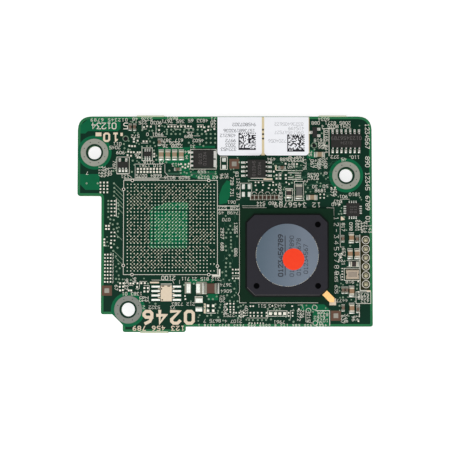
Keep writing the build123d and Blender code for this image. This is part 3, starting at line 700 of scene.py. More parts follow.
def solder_ends(ends, bodies, reach, climb, lean=(0, 0, 0, 0)):
    """Pads and solder at the ends of small parts. In the lean box the solder is too scarce to see."""
    cores = solids(bodies)
    for box in solids(ends):
        core = min(cores, key=lambda c: math.dist(middle(c), middle(box)))
        step = step_from(box, core)
        width = width_across(box, step)
        if not (lean[0] < box[0] < lean[2] and lean[1] < box[1] < lean[3]):
            x, y = pad_under(box, step, width + 0.12, reach, 0.4)
            feet.foot(x, y, step, width, reach * 0.92, climb)


def solder_leads(leads, body, reach, depth, spare):
    core = solids(body)[0]
    for box in solids(leads):
        step = step_from(box, core)
        width = width_across(box, step)
        x, y = pad_under(box, step, width + spare, reach, depth)
        feet.foot(x, y, step, width + 0.5 * spare, reach * 0.9, 0.2)


DARK_ROW = (7.0, 6.0, 16.0, 9.0)
solder_ends("capacitor_ends", "capacitor_bodies", 0.5, 0.7)
solder_ends("resistor_ends", "resistor_bodies", 0.45, 0.4)
solder_ends("small_ends", "small_bodies", 0.28, 0.4, DARK_ROW)
solder_ends("inductor_ends", "inductor_body", 0.5, 0.8)
solder_ends("bulk_ends", "bulk_body", 0.75, 1.0)
solder_leads("logic_leads", "logic_body", 0.35, 0.8, 0.2)
solder_leads("flash_leads", "flash_body", 0.4, 0.9, 0.2)
solder_leads("regulator_leads", "regulator_body", 0.35, 0.6, 0.25)
solder_leads("buffer_leads", "buffer_body", 0.3, 0.5, 0.1)
solder_leads("transistor_leads", "transistor_body", 0.4, 0.6, 0.4)
solder_leads("switch_contacts", "switch_body", 0.3, 0.3, 0.15)
solder_leads("clock_contacts", "clock_body", 0.35, 0.2, 0.05)
feet.piece("solder_feet", solder, "solder", smooth=True)

# %% [markdown]
# ## Round solder balls
# The network chip stands on a grid of balls. The CAD model has square posts for the outer ring, so
# rounded balls take their place: five rings of points on a barrel-shaped outline. Whole spheres would
# need more faces, and the top and the bottom of a ball are never seen.

# %% Balls under the chip
BARREL = [(0.2, 0.0), (0.28, 0.12), (0.31, 0.25), (0.28, 0.38), (0.2, 0.5)]
balls = Layer()
for box in solids("chip_balls"):
    x, y = middle(box)
    points = [(px, py, h) for r, h in BARREL for px, py in circle(x, y, r, 8)]
    balls.add(points, [face for k in range(4) for face in strip(8, 8 * k, 8 * k + 8)])
ball_piece = balls.piece("solder_balls", solder, "solder", smooth=True)
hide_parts("chip_balls")

# %% [markdown]
# ## Numbers made of strokes
# Printed numbers on a board are drawn with a pen of constant width. Each digit is a few straight
# strokes on a grid of four by six, and a row of them can be turned, because most of the print on
# this board stands upside down. Blender's text objects would need far more points for each digit.

# %% Digits
STROKES = {
    "0": [[(1, 0), (3, 0), (4, 1), (4, 5), (3, 6), (1, 6), (0, 5), (0, 1), (1, 0)]],
    "1": [[(1, 5), (2, 6), (2, 0)], [(1, 0), (3, 0)]],
    "2": [[(0, 5), (1, 6), (3, 6), (4, 5), (4, 4), (0, 0), (4, 0)]],
    "3": [[(0, 6), (4, 6), (2, 4), (4, 2), (4, 1), (3, 0), (1, 0), (0, 1)]],
    "4": [[(3, 0), (3, 6), (0, 2), (4, 2)]],
    "5": [[(4, 6), (0, 6), (0, 3), (3, 3), (4, 2), (4, 1), (3, 0), (0, 0)]],
    "6": [[(3, 6), (1, 5), (0, 3), (0, 1), (1, 0), (3, 0), (4, 1), (4, 2), (3, 3), (0, 3)]],
    "7": [[(0, 6), (4, 6), (1, 0)]],
    "8": [[(1, 3), (3, 3), (4, 4), (4, 5), (3, 6), (1, 6), (0, 5), (0, 4), (1, 3), (0, 2), (0, 1), (1, 0),
           (3, 0), (4, 1), (4, 2), (3, 3)]],
    "9": [[(1, 0), (3, 1), (4, 3), (4, 5), (3, 6), (1, 6), (0, 5), (0, 4), (1, 3), (4, 3)]],
    "-": [[(0.5, 3), (3.5, 3)]],
}


def write(layer, digits, x, y, size, turn=180, pen=0.14, lift=0.012, spread=6.0):
    """A row of digits around (x, y), turned by some degrees."""
    unit = size / 6
    c, s = math.cos(math.radians(turn)), math.sin(math.radians(turn))
    start = -((len(digits) - 1) * spread + 4) * unit / 2
    mirror = -1 if layer.under else 1
    for i, digit in enumerate(digits):
        for path in STROKES.get(digit, []):
            spots = [(mirror * (start + (i * spread + u) * unit), (v - 3) * unit) for u, v in path]
            layer.line([(x + a * c - b * s, y + a * s + b * c) for a, b in spots], pen * size, lift)


print(len(STROKES), "characters")

# %% [markdown]
# ## Print on the board
# The print shows where each part goes. The large lines are measured from the photograph: the empty
# chip place with its small circles, the frame round the network chip, and frames round the parts. A
# pen stroke is enough for most of it. Filled bars and the larger numbers are a cream tone of their own.

# %% Printed frames and lines
prints = Layer()
FINE, BOLD, WIDE = 0.1, 0.14, 0.19
INK, BLOCK, RING = 0.008, 0.032, 0.034
prints.frame(-29.2, -14.65, -2.1, 12.55, BOLD, INK)
prints.line([(-3.4, -15.0), (-1.5, -15.0), (-1.5, -13.3)], 0.5, INK)
prints.line([(-29.0, 12.95), (-19.0, 12.95)], 0.22, INK)
chip_frame = [
    [(4.25, 4.6), (4.25, -19.6), (3.8, -20.3), (4.25, -20.9), (4.25, -22.75), (6.2, -22.75)],
    [(7.2, -22.75), (26.8, -22.75)], [(5.2, 4.65), (12.0, 4.65)], [(29.4, 4.65), (31.5, 4.6), (31.5, 2.4)],
]
for path in chip_frame:
    prints.line(path, BOLD, INK)
frames = [
    (-31.2, 14.55, -27.6, 19.35), (-23.95, 18.3, -20.95, 22.0), (-9.9, 15.85, -2.45, 21.55),
    (20.15, 6.75, 22.75, 12.3), (17.6, 6.6, 19.6, 10.2), (-1.2, 15.75, 0.75, 19.4),
    (12.3, -26.6, 17.9, -25.05), (34.4, -16.3, 39.0, -12.85), (-8.5, -22.7, -6.4, -20.95),
    (37.75, -22.95, 42.0, -19.6),
]
for box in frames:
    prints.frame(*box, BOLD, INK)
fine_lines = [
    [(-25.9, 13.3), (-25.9, 17.3), (-18.0, 17.3)],
    [(-17.3, 17.2), (-17.3, 14.9), (-16.2, 13.7), (-10.0, 13.7)], [(-25.9, 13.3), (-17.0, 13.3)],
    [(-31.2, 14.4), (-28.2, 14.4), (-26.9, 13.4)], [(4.5, 7.4), (4.5, 11.75), (7.8, 11.75), (7.8, 7.4)],
    [(5.0, 5.2), (9.4, 5.2)], [(6.8, 12.55), (13.9, 12.4)], [(-23.9, 28.6), (-23.9, 27.5), (-22.6, 27.5)],
    [(-16.2, 28.8), (-13.9, 28.7)], [(-13.0, 28.6), (-11.3, 28.6), (-11.3, 27.7), (-9.0, 27.7)],
    [(-14.7, 27.6), (-13.4, 27.4)], [(-8.0, 28.7), (-6.2, 28.7), (-6.2, 27.8)],
    [(-11.0, 26.6), (-9.0, 26.6)], [(-9.0, 25.5), (-7.2, 25.5)], [(-24.2, 23.4), (-22.2, 23.4)],
    [(-28.9, -16.9), (-28.9, -18.0), (-27.6, -18.0)], [(-27.9, -16.4), (-27.6, -17.7), (-26.4, -17.8)],
    [(-25.6, -18.75), (-24.6, -18.7), (-24.4, -16.6), (-22.4, -16.6)],
    [(-23.2, -17.8), (-21.7, -17.8), (-21.7, -19.2)], [(-13.0, -16.2), (-13.0, -17.3)],
    [(-21.0, -16.2), (-15.0, -16.3), (-14.6, -17.2)], [(33.3, 0.3), (33.3, -6.7), (34.4, -6.7)],
    [(33.8, 6.0), (33.8, 7.1), (36.0, 7.1)], [(33.2, -14.6), (33.5, -16.3)], [(35.2, -10.6), (38.9, -10.6)],
    [(35.2, -12.4), (38.9, -12.4)], [(35.3, -21.1), (38.9, -21.1)], [(2.2, -15.0), (4.0, -15.0)],
    [(6.4, -27.1), (12.3, -27.1)], [(13.0, -25.05), (12.2, -27.2)],
    [(23.3, -25.0), (23.3, -28.2), (25.0, -28.5)], [(24.0, -25.0), (24.7, -26.4)],
    [(21.0, -23.4), (22.4, -23.3), (22.5, -24.4)], [(18.9, -27.2), (18.9, -25.0), (20.0, -25.0)],
    [(15.7, 12.9), (15.7, 14.7), (16.6, 14.7)], [(-19.9, 28.8), (-19.9, 26.0)],
    [(-21.6, 25.25), (-16.9, 25.25)],
]
for path in fine_lines:
    prints.line(path, FINE, INK)
wide_lines = [
    [(38.95, -3.2), (38.95, -19.2), (40.8, -19.2)], [(28.75, 27.6), (28.75, 21.9)],
    [(30.2, 27.6), (30.2, 19.7)], [(28.3, 27.6), (31.9, 27.6)], [(-31.3, 7.1), (-31.3, 2.1)],
    [(-1.9, 5.15), (4.2, 5.15)], [(-1.9, 4.0), (4.0, 4.0)], [(30.15, -29.2), (30.15, -25.0), (26.2, -25.0)],
    [(38.7, -23.3), (38.7, -26.8)], [(15.0, 15.5), (18.0, 15.5)], [(-5.6, -25.7), (-2.7, -25.7)],
    [(7.6, 13.2), (11.9, 13.2)], [(18.4, 12.9), (22.4, 12.9)], [(18.4, 13.45), (19.8, 13.45)],
    [(18.4, 14.75), (19.8, 14.75)], [(20.4, 13.45), (22.0, 13.45)], [(20.4, 14.05), (22.0, 14.05)],
    [(20.4, 14.7), (22.0, 14.7)], [(18.3, 15.4), (22.4, 15.4)], [(-15.3, -17.35), (-18.3, -17.35)],
]
for path in wide_lines:
    prints.line(path, WIDE, INK)
print(len(frames), "frames and", len(fine_lines) + len(wide_lines), "lines")

# %% Printed bars, marks and rings
bars = [
    (33.5, 1.0, 33.9, 2.1), (-18.4, -22.3, -15.2, -17.75), (-6.0, -25.75, -5.45, -22.95),
    (-21.5, -17.15, -18.9, -16.7), (11.2, 12.7, 13.8, 13.15), (14.6, 15.6, 15.0, 17.0),
    (40.8, -19.5, 42.0, -19.15),
]
for y in (-18.75, -20.15, -21.3):
    bars += [(-19.2, y - 0.1, -18.42, y + 0.1), (-15.18, y - 0.1, -14.5, y + 0.1)]
blocks = Layer()
for box in bars:
    blocks.sheet(box_outline(*box), BLOCK)
blocks.sheet([(33.9, 2.1), (33.9, 1.0), (34.7, 1.2)], BLOCK)
corner_mark = [(30.1, -23.45), (32.0, -23.45), (32.0, -21.5), (31.3, -21.5), (31.3, -22.55), (30.1, -22.55)]
blocks.sheet(corner_mark, BLOCK + 0.001)
circles = [(-29.2, 10.0), (-26.7, 12.55), (-4.6, 12.55), (-2.1, -12.2), (-4.6, -14.65), (-29.2, -12.0),
           (-26.7, -14.65)]
for x, y in circles:
    prints.ring(x, y, 0.3, 0.47, RING, 16)
for x, y, radius in ((25.85, -24.1, 0.75), (24.05, -25.0, 0.75), (26.0, -28.55, 0.75), (27.6, -28.6, 0.45)):
    prints.ring(x, y, radius - 0.13, radius, RING, 20)
for box in ((39.0, -29.0, 42.0, -23.2), (-18.5, -22.4, -15.1, -17.6), (-29.7, -15.3, -1.2, 13.2),
            (4.0, -22.9, 31.7, 4.8)):
    take(*box)
for box in solids("pin_solder"):
    x, y = middle(box)
    prints.ring(x, y, 0.99, 1.15, RING, 24)
    take(x - 1.5, y - 1.3, x + 1.2, y + 1.3)
print(len(prints.faces), "printed faces so far")

# %% Printed numbers of the larger rows
write(prints, "01234", -35.0, 28.4, 1.7, spread=5.2)
write(prints, "5", -28.7, 28.4, 1.7)
write(prints, "012345 6789", -33.5, 30.15, 0.8, spread=7.5)
for box in ((-37.4, 25.4, -35.7, 26.5), (-30.2, 25.45, -29.5, 26.4)):
    blocks.sheet(box_outline(*box), BLOCK)
write(blocks, "10", -32.9, 25.1, 2.2, pen=0.26, spread=7.0)
for digits, y in (("1234567", 25.4), ("890", 17.95), ("12345", 12.3), ("6789", 6.0), ("01", 1.2)):
    write(prints, digits, 41.3, y, 1.15, turn=270, spread=5.6)
write(prints, "12 3456789", 21.0, 5.45, 1.25, spread=6.6)
write(prints, "12-3456789", 32.2, -6.3, 1.25, turn=270, pen=0.105, spread=8.4)
write(blocks, "123 456 789", -19.0, -30.05, 1.2, pen=0.2, spread=6.9)
write(blocks, "0246", -16.1, -26.9, 3.4, pen=0.26, spread=7.0)
write(prints, "2100", -16.2, -15.6, 1.1, spread=5.8)
blocks.piece("cream_blocks", cream_ink, "white_paper")
for box in ((-42.2, 23.6, -28.8, 30.8), (40.5, -0.5, 42.1, 29.8), (13.5, 4.7, 29.0, 6.3),
            (31.5, -13.6, 33.0, 2.3), (-27.2, -31.0, -10.8, -29.2), (-24.0, -29.4, -8.3, -24.3)):
    take(*box)
print(len(prints.faces), "strokes so far")

# %% [markdown]
# ## The empty chip place
# Next to the network chip is a place for a second one, with a grid of bare pads. A short track leads
# from a pad diagonally to a drilled hole between four pads. The tracks fan out: they lead to the left
# or the right, and up or down, and some turn the other way. A random number with a fixed start leaves
# out about a quarter of them, hardly any along a few full rows and columns, and most in a few quiet
# areas, where tracks run in deeper layers. In the middle, over clear laminate, pads and tracks look
# pale green in a dark frame.

# %% Grid of bare pads
grid_pads, tracks = Layer(), Layer()
centre_pads, centre_tracks = Layer(), Layer()
COUNT, PITCH, MID_X, MID_Y = 26, 1.0, -15.56, -1.08
HALF = (COUNT - 1) / 2
BALL_PAD, BALL_RISE = 0.175, 0.05
TRACK, TRACK_WIDTH, HOLE, DARK_FRAME = 0.012, 0.16, 0.026, 0.028
missing = [(i, j) for i in (24, 25) for j in (1, 3, 7)]
quiet = [(19, 17, 24, 18), (19, 20, 24, 22), (22, 23, 24, 24), (21, 12, 23, 15), (7, 19, 9, 22),
         (2, 12, 4, 17), (10, 0, 12, 4), (20, 0, 24, 5), (0, 2, 0, 7)]


def skip_chance(column, row):
    """How likely a place between four pads has no hole: quiet areas, full rows and all the rest."""
    if any(i0 <= column <= i1 and j0 <= row <= j1 for i0, j0, i1, j1 in quiet):
        return 0.85
    if row in (6, 11, 18) or column == 18 or column in (5, 6) and 7 < row < 18:
        return 0.06
    return 0.28


def outward(i, j, central):
    """The diagonal by which a track leaves its pad, as two signs."""
    turning = 12 if j < 8 else 4 if j < 18 else 7
    return (1 if central or i > turning else -1), (1 if j > 7 else -1)


dice = random.Random(7)
used = set()
for i, j in [(i, j) for i in range(COUNT) for j in range(COUNT) if (i, j) not in missing]:
    x, y = MID_X + (i - HALF) * PITCH, MID_Y + (j - HALF) * PITCH
    central = -21.6 < x < -10.6 and -6.95 < y < 5.75
    (centre_pads if central else grid_pads).dome(x, y, BALL_PAD, BALL_RISE, 8)
    side_x, side_y = outward(i, j, central)
    if not central and dice.random() < (0.35 if i < 8 else 0.12):
        side_x = -side_x
    place = (i + (side_x - 1) // 2, j + (side_y - 1) // 2)
    fits = all(0 <= k < COUNT - 1 for k in place) and place not in used
    if dice.random() < skip_chance(*place) or not fits:
        continue
    used.add(place)
    hole = (x + side_x * PITCH / 2, y + side_y * PITCH / 2)
    layer = centre_tracks if central else tracks
    layer.line([(x, y), hole], TRACK_WIDTH, TRACK)
    layer.disc(*hole, 0.13 if central else 0.165, HOLE, 8)
grid_pads.piece("grid_pads", grid_tin, "solder", smooth=True)
tracks.piece("grid_tracks", track_lacquer, "solder")
centre_pads.piece("centre_pads", centre_tin, "solder", smooth=True)
centre_tracks.piece("centre_tracks", centre_track, "solder")
centre_frame = Layer()
centre_frame.frame(-20.56, -6.08, -10.56, 3.92, 0.4, DARK_FRAME)
centre_frame.piece("centre_frame", frame_green, "board")

# %% [markdown]
# ## Rows of small numbers
# Every part has a number beside it, and on a board this full the numbers run together in rows and
# columns. The places of the rows are measured, and the digits in them are drawn by lot in groups of
# three or four. Rows near the lower edge and beside the network chip have a thinner pen, and three
# rows along the lower rim are smaller and wider spaced.

# %% Rows and columns of small numbers
across = [
    (-26.8, -20.9, 30.4), (-25.0, -18.2, 29.35), (-22.9, -17.6, 25.95), (-27.2, -24.6, 25.4),
    (-32.3, -29.9, 23.2), (-33.4, -30.2, 22.1), (-32.1, -29.1, 20.65), (-26.3, -24.2, 19.85),
    (-23.7, -20.2, 17.75), (-40.3, -39.2, 14.7), (-30.9, -27.6, 13.7), (-25.6, -18.3, 13.9),
    (-25.6, -18.3, 16.9), (-16.9, -13.5, 30.65), (-18.6, -11.4, 29.75), (-10.9, -4.6, 29.95),
    (-4.2, -2.4, 30.4), (-4.2, -2.4, 29.4), (-4.2, -2.4, 28.5), (-12.4, -9.4, 25.35), (-11.0, -9.0, 26.1),
    (-18.9, -11.9, 24.2), (-9.2, -6.2, 24.15), (-18.0, -12.2, 22.5), (-18.6, -12.8, 23.4),
    (-10.4, -8.3, 22.4), (-11.5, -10.2, 20.75), (-11.5, -10.4, 19.3), (-19.0, -17.5, 17.9),
    (-15.3, -12.9, 17.1), (-18.6, -9.8, 13.35), (-8.0, -5.2, 15.15), (-7.8, -4.4, 13.45), (-3.6, -1.9, 13.4),
    (27.2, 30.2, 30.35), (25.1, 27.6, 29.25), (28.9, 36.6, 29.25), (28.1, 32.9, 28.25), (33.5, 36.5, 28.15),
    (25.8, 28.2, 24.2), (27.1, 29.4, 23.2), (27.1, 29.4, 22.2), (30.6, 33.1, 19.4), (36.6, 39.0, 19.3),
    (33.6, 35.3, 18.65), (-0.3, 3.4, 6.25), (-1.7, 3.9, 4.6), (-1.7, 3.9, 3.2), (8.2, 15.3, 5.95),
    (9.0, 11.8, 5.1), (12.4, 14.6, 18.7), (15.9, 18.5, 18.65), (23.2, 27.1, 14.2), (23.2, 27.1, 13.2),
    (25.0, 27.1, 10.75), (28.1, 30.1, 10.85), (26.0, 29.3, 9.6), (33.2, 35.4, 7.85), (36.0, 39.0, 8.5),
    (30.5, 33.8, 6.55), (30.6, 33.5, 5.6), (34.8, 37.2, -16.7), (38.0, 41.7, -20.35), (38.0, 41.8, -21.3),
    (38.0, 41.8, -22.25), (32.2, 35.3, -22.1), (-29.6, -23.7, -20.15), (-23.6, -18.6, -24.05),
    (-12.6, -10.0, -15.85), (-9.6, -4.5, -15.9), (-3.7, -1.5, -15.9), (-15.4, -8.4, -23.1),
    (-15.6, -14.2, -24.1), (-6.3, -0.9, -27.9), (0.0, 4.9, -28.05), (-1.2, 2.8, -26.3), (9.2, 12.1, -23.65),
    (12.6, 17.5, -23.6), (14.0, 17.3, -28.25), (25.5, 29.9, -26.1), (25.5, 28.9, -27.0),
    (25.5, 29.9, -27.85), (26.4, 29.2, -25.45), (-1.6, 2.2, -17.6), (-1.4, 2.3, -19.4), (-1.6, 0.2, -21.2),
    (-1.6, 0.2, -22.1), (-0.9, 1.8, 1.2),
]
along = [
    (-31.9, 15.9, 18.3), (-35.95, 12.6, 16.8), (-35.0, 12.6, 16.8), (-34.0, 12.6, 16.4), (-33.1, 13.0, 16.6),
    (29.45, 20.2, 27.4), (24.75, 19.6, 21.1), (23.1, 15.6, 18.9), (26.4, 15.2, 18.9), (25.3, 15.2, 18.8),
    (27.4, 15.8, 18.9), (29.2, 14.4, 19.2), (28.3, 16.0, 19.2), (2.1, 6.9, 13.6), (3.9, 6.7, 13.2),
    (3.5, 13.3, 15.4), (0.5, 13.0, 14.8), (-0.9, 12.9, 14.6), (16.2, 6.1, 9.2), (15.9, 9.5, 12.0),
    (18.9, 17.9, 19.6), (19.8, 15.9, 19.6), (20.7, 17.9, 19.6), (21.6, 17.9, 19.6), (22.4, 17.9, 19.6),
    (18.7, 15.9, 17.6), (23.5, 11.8, 12.9), (31.0, 7.7, 10.6), (31.9, 7.7, 10.6), (34.2, -2.2, 0.3),
    (36.4, -2.0, 0.4), (38.2, -3.0, 1.1), (39.0, -2.9, 1.1), (39.8, -2.7, 0.7), (40.6, -2.7, 0.7),
    (41.95, -2.8, -0.1), (34.3, -9.4, -6.9), (33.4, -11.9, -8.4), (34.2, -12.2, -10.2), (32.1, -20.2, -13.4),
    (38.3, -24.9, -23.2), (33.9, -28.7, -26.2), (34.9, -28.4, -25.9), (37.0, -28.2, -26.3),
    (38.2, -27.9, -26.2), (-24.05, -22.5, -20.9), (-23.2, -22.5, -20.9), (-22.4, -22.4, -20.9),
    (-31.2, -19.4, -17.4), (-28.3, -18.9, -15.9), (-26.0, -16.9, -15.4), (3.2, -2.8, 0.4), (3.2, -9.7, -6.8),
    (-0.7, -8.8, -1.0), (4.9, -27.3, -24.6), (0.2, -26.0, -22.9), (6.2, -27.0, -23.2), (22.3, -28.0, -24.6),
    (21.3, -28.0, -24.6), (24.1, -28.2, -25.9),
]
SMALL, TINY = 0.85, 0.6
THIN_PEN, PEN = 0.115, 0.14


def number_groups(length, dice):
    """Digits in groups, as many as fit the length."""
    count = max(1, round(length / SMALL))
    digits = ""
    while len(digits) < count:
        digits += "".join(dice.choice("0123456789") for k in range(dice.choice((3, 4, 4)))) + " "
    return digits[:count]


dice = random.Random(41)
for x0, x1, y in across:
    pen = THIN_PEN if y < -22 or -2 < x0 < 4 else PEN
    write(prints, number_groups(x1 - x0, dice), (x0 + x1) / 2, y, SMALL, 180, pen)
    take(x0, y - 0.45, x1, y + 0.45)
for x0, x1 in ((-8.0, 6.0), (6.3, 13.4), (14.0, 29.6)):
    write(prints, number_groups(x1 - x0, dice), (x0 + x1) / 2, -29.2, TINY, 180, 0.18, spread=8.5)
for x, y0, y1 in along:
    write(prints, number_groups(y1 - y0, dice), x, (y0 + y1) / 2, SMALL, 270)
    take(x - 0.45, y0, x + 0.45, y1)
print(len(across) + len(along), "rows of numbers")

# %% [markdown]
# ## Bare pads
# Places for parts that were left off show as pairs and rows of bare tinned pads. They are listed by
# the places of their middles, and regular blocks of them by columns and rows. The places of a few
# large parts are dull, two bare pads carry painted shade along their upper edges, and one row of
# small capacitors has darker tops, with printed bars between them.

# %% Single pads
loose_pads = [
    (-23.4, 28.05), (-22.5, 28.3), (-21.4, 28.2), (-19.0, 28.4), (-19.0, 27.2), (-26.3, 24.6), (-26.3, 23.8),
    (-25.2, 24.1), (-23.5, 23.9), (-22.6, 23.9), (-27.6, 22.6), (-26.8, 22.5), (-26.0, 22.5), (-27.9, 20.9),
    (-27.1, 20.75), (-26.3, 20.75), (-25.2, 20.7), (-24.5, 20.7), (-28.1, 19.9), (-27.1, 19.7),
    (-25.2, 19.2), (-24.5, 19.2), (-20.4, 20.3), (-20.4, 19.5), (-16.3, 28.2), (-15.4, 28.25), (-14.5, 28.2),
    (-13.6, 28.2), (-12.6, 28.2), (-11.5, 28.2), (-10.6, 28.3), (-9.8, 28.2), (-7.7, 28.2), (-6.8, 28.2),
    (-5.9, 28.0), (-4.7, 28.2), (-3.0, 27.5), (-4.8, 27.2), (-5.6, 26.8), (-12.2, 16.5), (-11.4, 16.2),
    (-10.6, 16.6), (-10.4, 17.4), (-11.4, 17.2), (-10.3, 20.7), (-12.6, 17.3), (14.2, 15.1), (15.0, 14.1),
    (16.1, 14.1), (15.0, 13.1), (16.1, 13.1), (17.65, 14.1), (17.65, 13.1), (8.9, 12.0), (9.8, 12.0),
    (10.9, 12.0), (14.0, 12.0), (13.0, 11.2), (14.0, 11.2), (14.9, 11.3), (11.1, 11.2), (8.9, 11.1),
    (12.7, 10.3), (9.2, 9.8), (10.9, 9.7), (13.7, 9.8), (14.8, 9.8), (20.9, 17.3), (17.6, 17.4),
    (17.8, 12.0), (18.6, 11.5), (27.6, 8.5), (28.7, 8.5), (27.6, 7.5), (28.7, 7.5), (30.8, 10.4),
    (31.9, 10.5), (33.2, 5.6), (33.7, -8.6), (33.4, -9.7), (38.4, -16.6), (38.4, -19.6), (38.4, -28.0),
    (-30.1, -17.15), (-29.1, -17.15), (-27.1, -17.2), (-26.3, -17.2), (-30.2, -18.15), (-29.2, -18.1),
    (-30.1, -19.2), (-29.3, -19.1), (-27.6, -19.2), (-26.9, -19.2), (-25.2, -18.2), (-25.1, -17.15),
    (-24.0, -17.1), (-23.0, -17.1), (-23.1, -18.5), (-22.1, -18.5), (-23.1, -19.5), (-22.1, -19.5),
    (-11.4, -20.8), (-11.3, -21.7), (0.7, -23.0), (1.6, -23.0), (2.6, -23.0), (1.6, -23.9), (2.6, -23.9),
    (1.6, -24.7), (2.6, -24.7), (0.7, -24.6), (1.6, -25.4), (2.6, -25.5), (4.2, -25.6), (5.4, -25.6),
    (4.2, -26.5), (5.4, -26.5), (3.3, -25.6), (7.4, -23.7), (8.2, -23.7), (13.7, -23.6), (19.4, -23.7),
    (21.3, -24.5), (12.0, -25.6), (12.0, -26.5), (7.4, -25.6), (8.4, -25.6), (9.5, -25.6), (10.6, -25.6),
    (7.4, -26.5), (8.4, -26.5), (9.5, -26.5), (10.6, -26.5), (18.4, -25.6), (19.5, -25.6), (18.4, -26.5),
    (19.5, -26.5), (-34.2, -0.6), (-33.4, -0.6), (-34.2, -1.5), (-33.4, -1.5), (-34.7, -4.5), (-34.7, -5.4),
    (-34.7, -6.2), (-32.8, -5.6), (-32.7, -6.8), (2.3, -13.2), (3.2, -13.2), (3.9, -13.2), (2.3, -14.2),
    (3.2, -14.2), (3.9, -14.2), (2.3, -15.7), (3.2, -15.7), (3.9, -15.7),
]
PAD_TOP = 0.042
for x, y in loose_pads:
    half = 0.25 if y > 13 or x < -20 else 0.2
    pads.slab(x - half, y - half, x + half, y + half, PAD_TOP)
    take(x - 0.3, y - 0.3, x + 0.3, y + 0.3)
print(len(loose_pads), "single pads")


# %% Blocks of pads
def steps(start, step, count):
    return [start + step * k for k in range(count)]


pad_blocks = [
    ([33.85], steps(-12.9, -0.8, 5), 0.5, 0.24), (steps(-25.12, 0.93, 8), [15.9, 15.0], 0.56, 0.6),
    ([13.15, 14.6, 15.85, 17.2], [-25.85], 0.84, 0.8), (steps(7.025, 0.8, 6), [-28.575], 0.25, 0.35),
    ([-4.8, -3.3], [-23.6, -25.0], 0.7, 0.7),
    ([-32.7, -31.75], [6.6, 5.6, 4.5, 3.5, 2.4, -2.5, -3.6, -4.8], 0.44, 0.36),
    ([-35.9, -34.9, -33.9], steps(9.09, 0.95, 4), 0.44, 0.48),
    ([-34.5, -33.7, -32.85], steps(-8.89, -0.98, 9), 0.42, 0.42),
]
for columns, levels, wide, tall in pad_blocks:
    for x in columns:
        for y in levels:
            pads.slab(x - wide / 2, y - tall / 2, x + wide / 2, y + tall / 2, PAD_TOP)
for y in steps(-8.6, -0.98, 9):
    prints.line([(-32.1, y), (-32.2, y - 0.6)], BOLD, INK)
for x in steps(7.42, 1.1667, 8):
    prints.line([(x, 6.95), (x, 8.35)], WIDE, INK)
for x in steps(7.9, 1.9, 4):
    prints.line([(x, 8.7), (x + 0.35, 9.2), (x + 1.0, 9.2), (x + 1.35, 8.7)], FINE, INK)
for box in ((33.4, -16.4, 34.3, -12.6), (-25.8, 14.4, -17.5, 16.5), (-33.2, 2.1, -31.3, 7.0),
            (-33.2, -5.2, -31.3, -2.1), (-35.0, -17.3, -31.8, -8.4), (-36.4, 8.3, -33.6, 12.6)):
    take(*box)
pads.piece("bare_pad_pairs", pad_tin, "solder")

# %% Dull solder, painted shade on two pads, and the dark row
pad_top = top_of("bare_pads") - TOP
shades = Layer()
SHADE = 0.02
for box in ((-11.5, -20.1, -9.7, -16.75), (-8.2, -20.3, -5.1, -16.7)):
    shades.sheet(box_outline(*box), SHADE)
# Painted shade: grey strips along the upper edges of two bare pads, whose solder on the real card is rounded
# and faces away from the light there.
for box in ((-8.45, -21.5, -6.4, -21.0), (-8.35, -24.35, -6.45, -24.05)):
    shades.sheet(box_outline(*box), pad_top + SKIN)
shades.piece("dull_solder_and_painted_shade", dull_tin, "solder")
row_tops = Layer(base=top_of("small_bodies"))
for x0, y0, x1, y1 in solids("small_bodies"):
    if DARK_ROW[0] < x0 < DARK_ROW[2] and DARK_ROW[1] < y0 < DARK_ROW[3]:
        row_tops.sheet(box_outline(x0 + 0.08, y0 + 0.02, x1 - 0.08, y1 - 0.02), SKIN)
row_tops.piece("dark_row_tops", row_ceramic, "dark_ceramic")
print("pads of the CAD model are", round(pad_top, 3), "mm high")

# %% [markdown]
# ## Drilled holes
# A drilled hole joins the board's copper layers. Its ring lies under the lacquer and looks pale
# green, with a dark point where the drill went. Around the mounting holes the points are bare. Cutting
# hundreds of holes would make a heavy mesh, so each is a flat ring with a dark point a little above
# it. Rows and single holes are measured. In the crowded areas their places are drawn by lot, with a
# fixed start for each area, and a hole is drilled only where the map has room for it.

# %% Holes in rows and single holes
hole_rings = Layer()
hole_dots = Layer()
drilled = []
HOLE_RING, HOLE_DOT, MARK_DOT, LAND_DOT = 0.04, 0.045, 0.05, 0.056
DOT_CIRCLE = 3.2


def drill(x, y, radius=0.28):
    square = (x - radius, y - radius, x + radius, y + radius)
    if free(*square):
        hole_rings.disc(x, y, radius, HOLE_RING, 10)
        hole_dots.disc(x, y, 0.22 * radius, HOLE_DOT, 8)
        take(*square)
        drilled.append((x, y, radius))


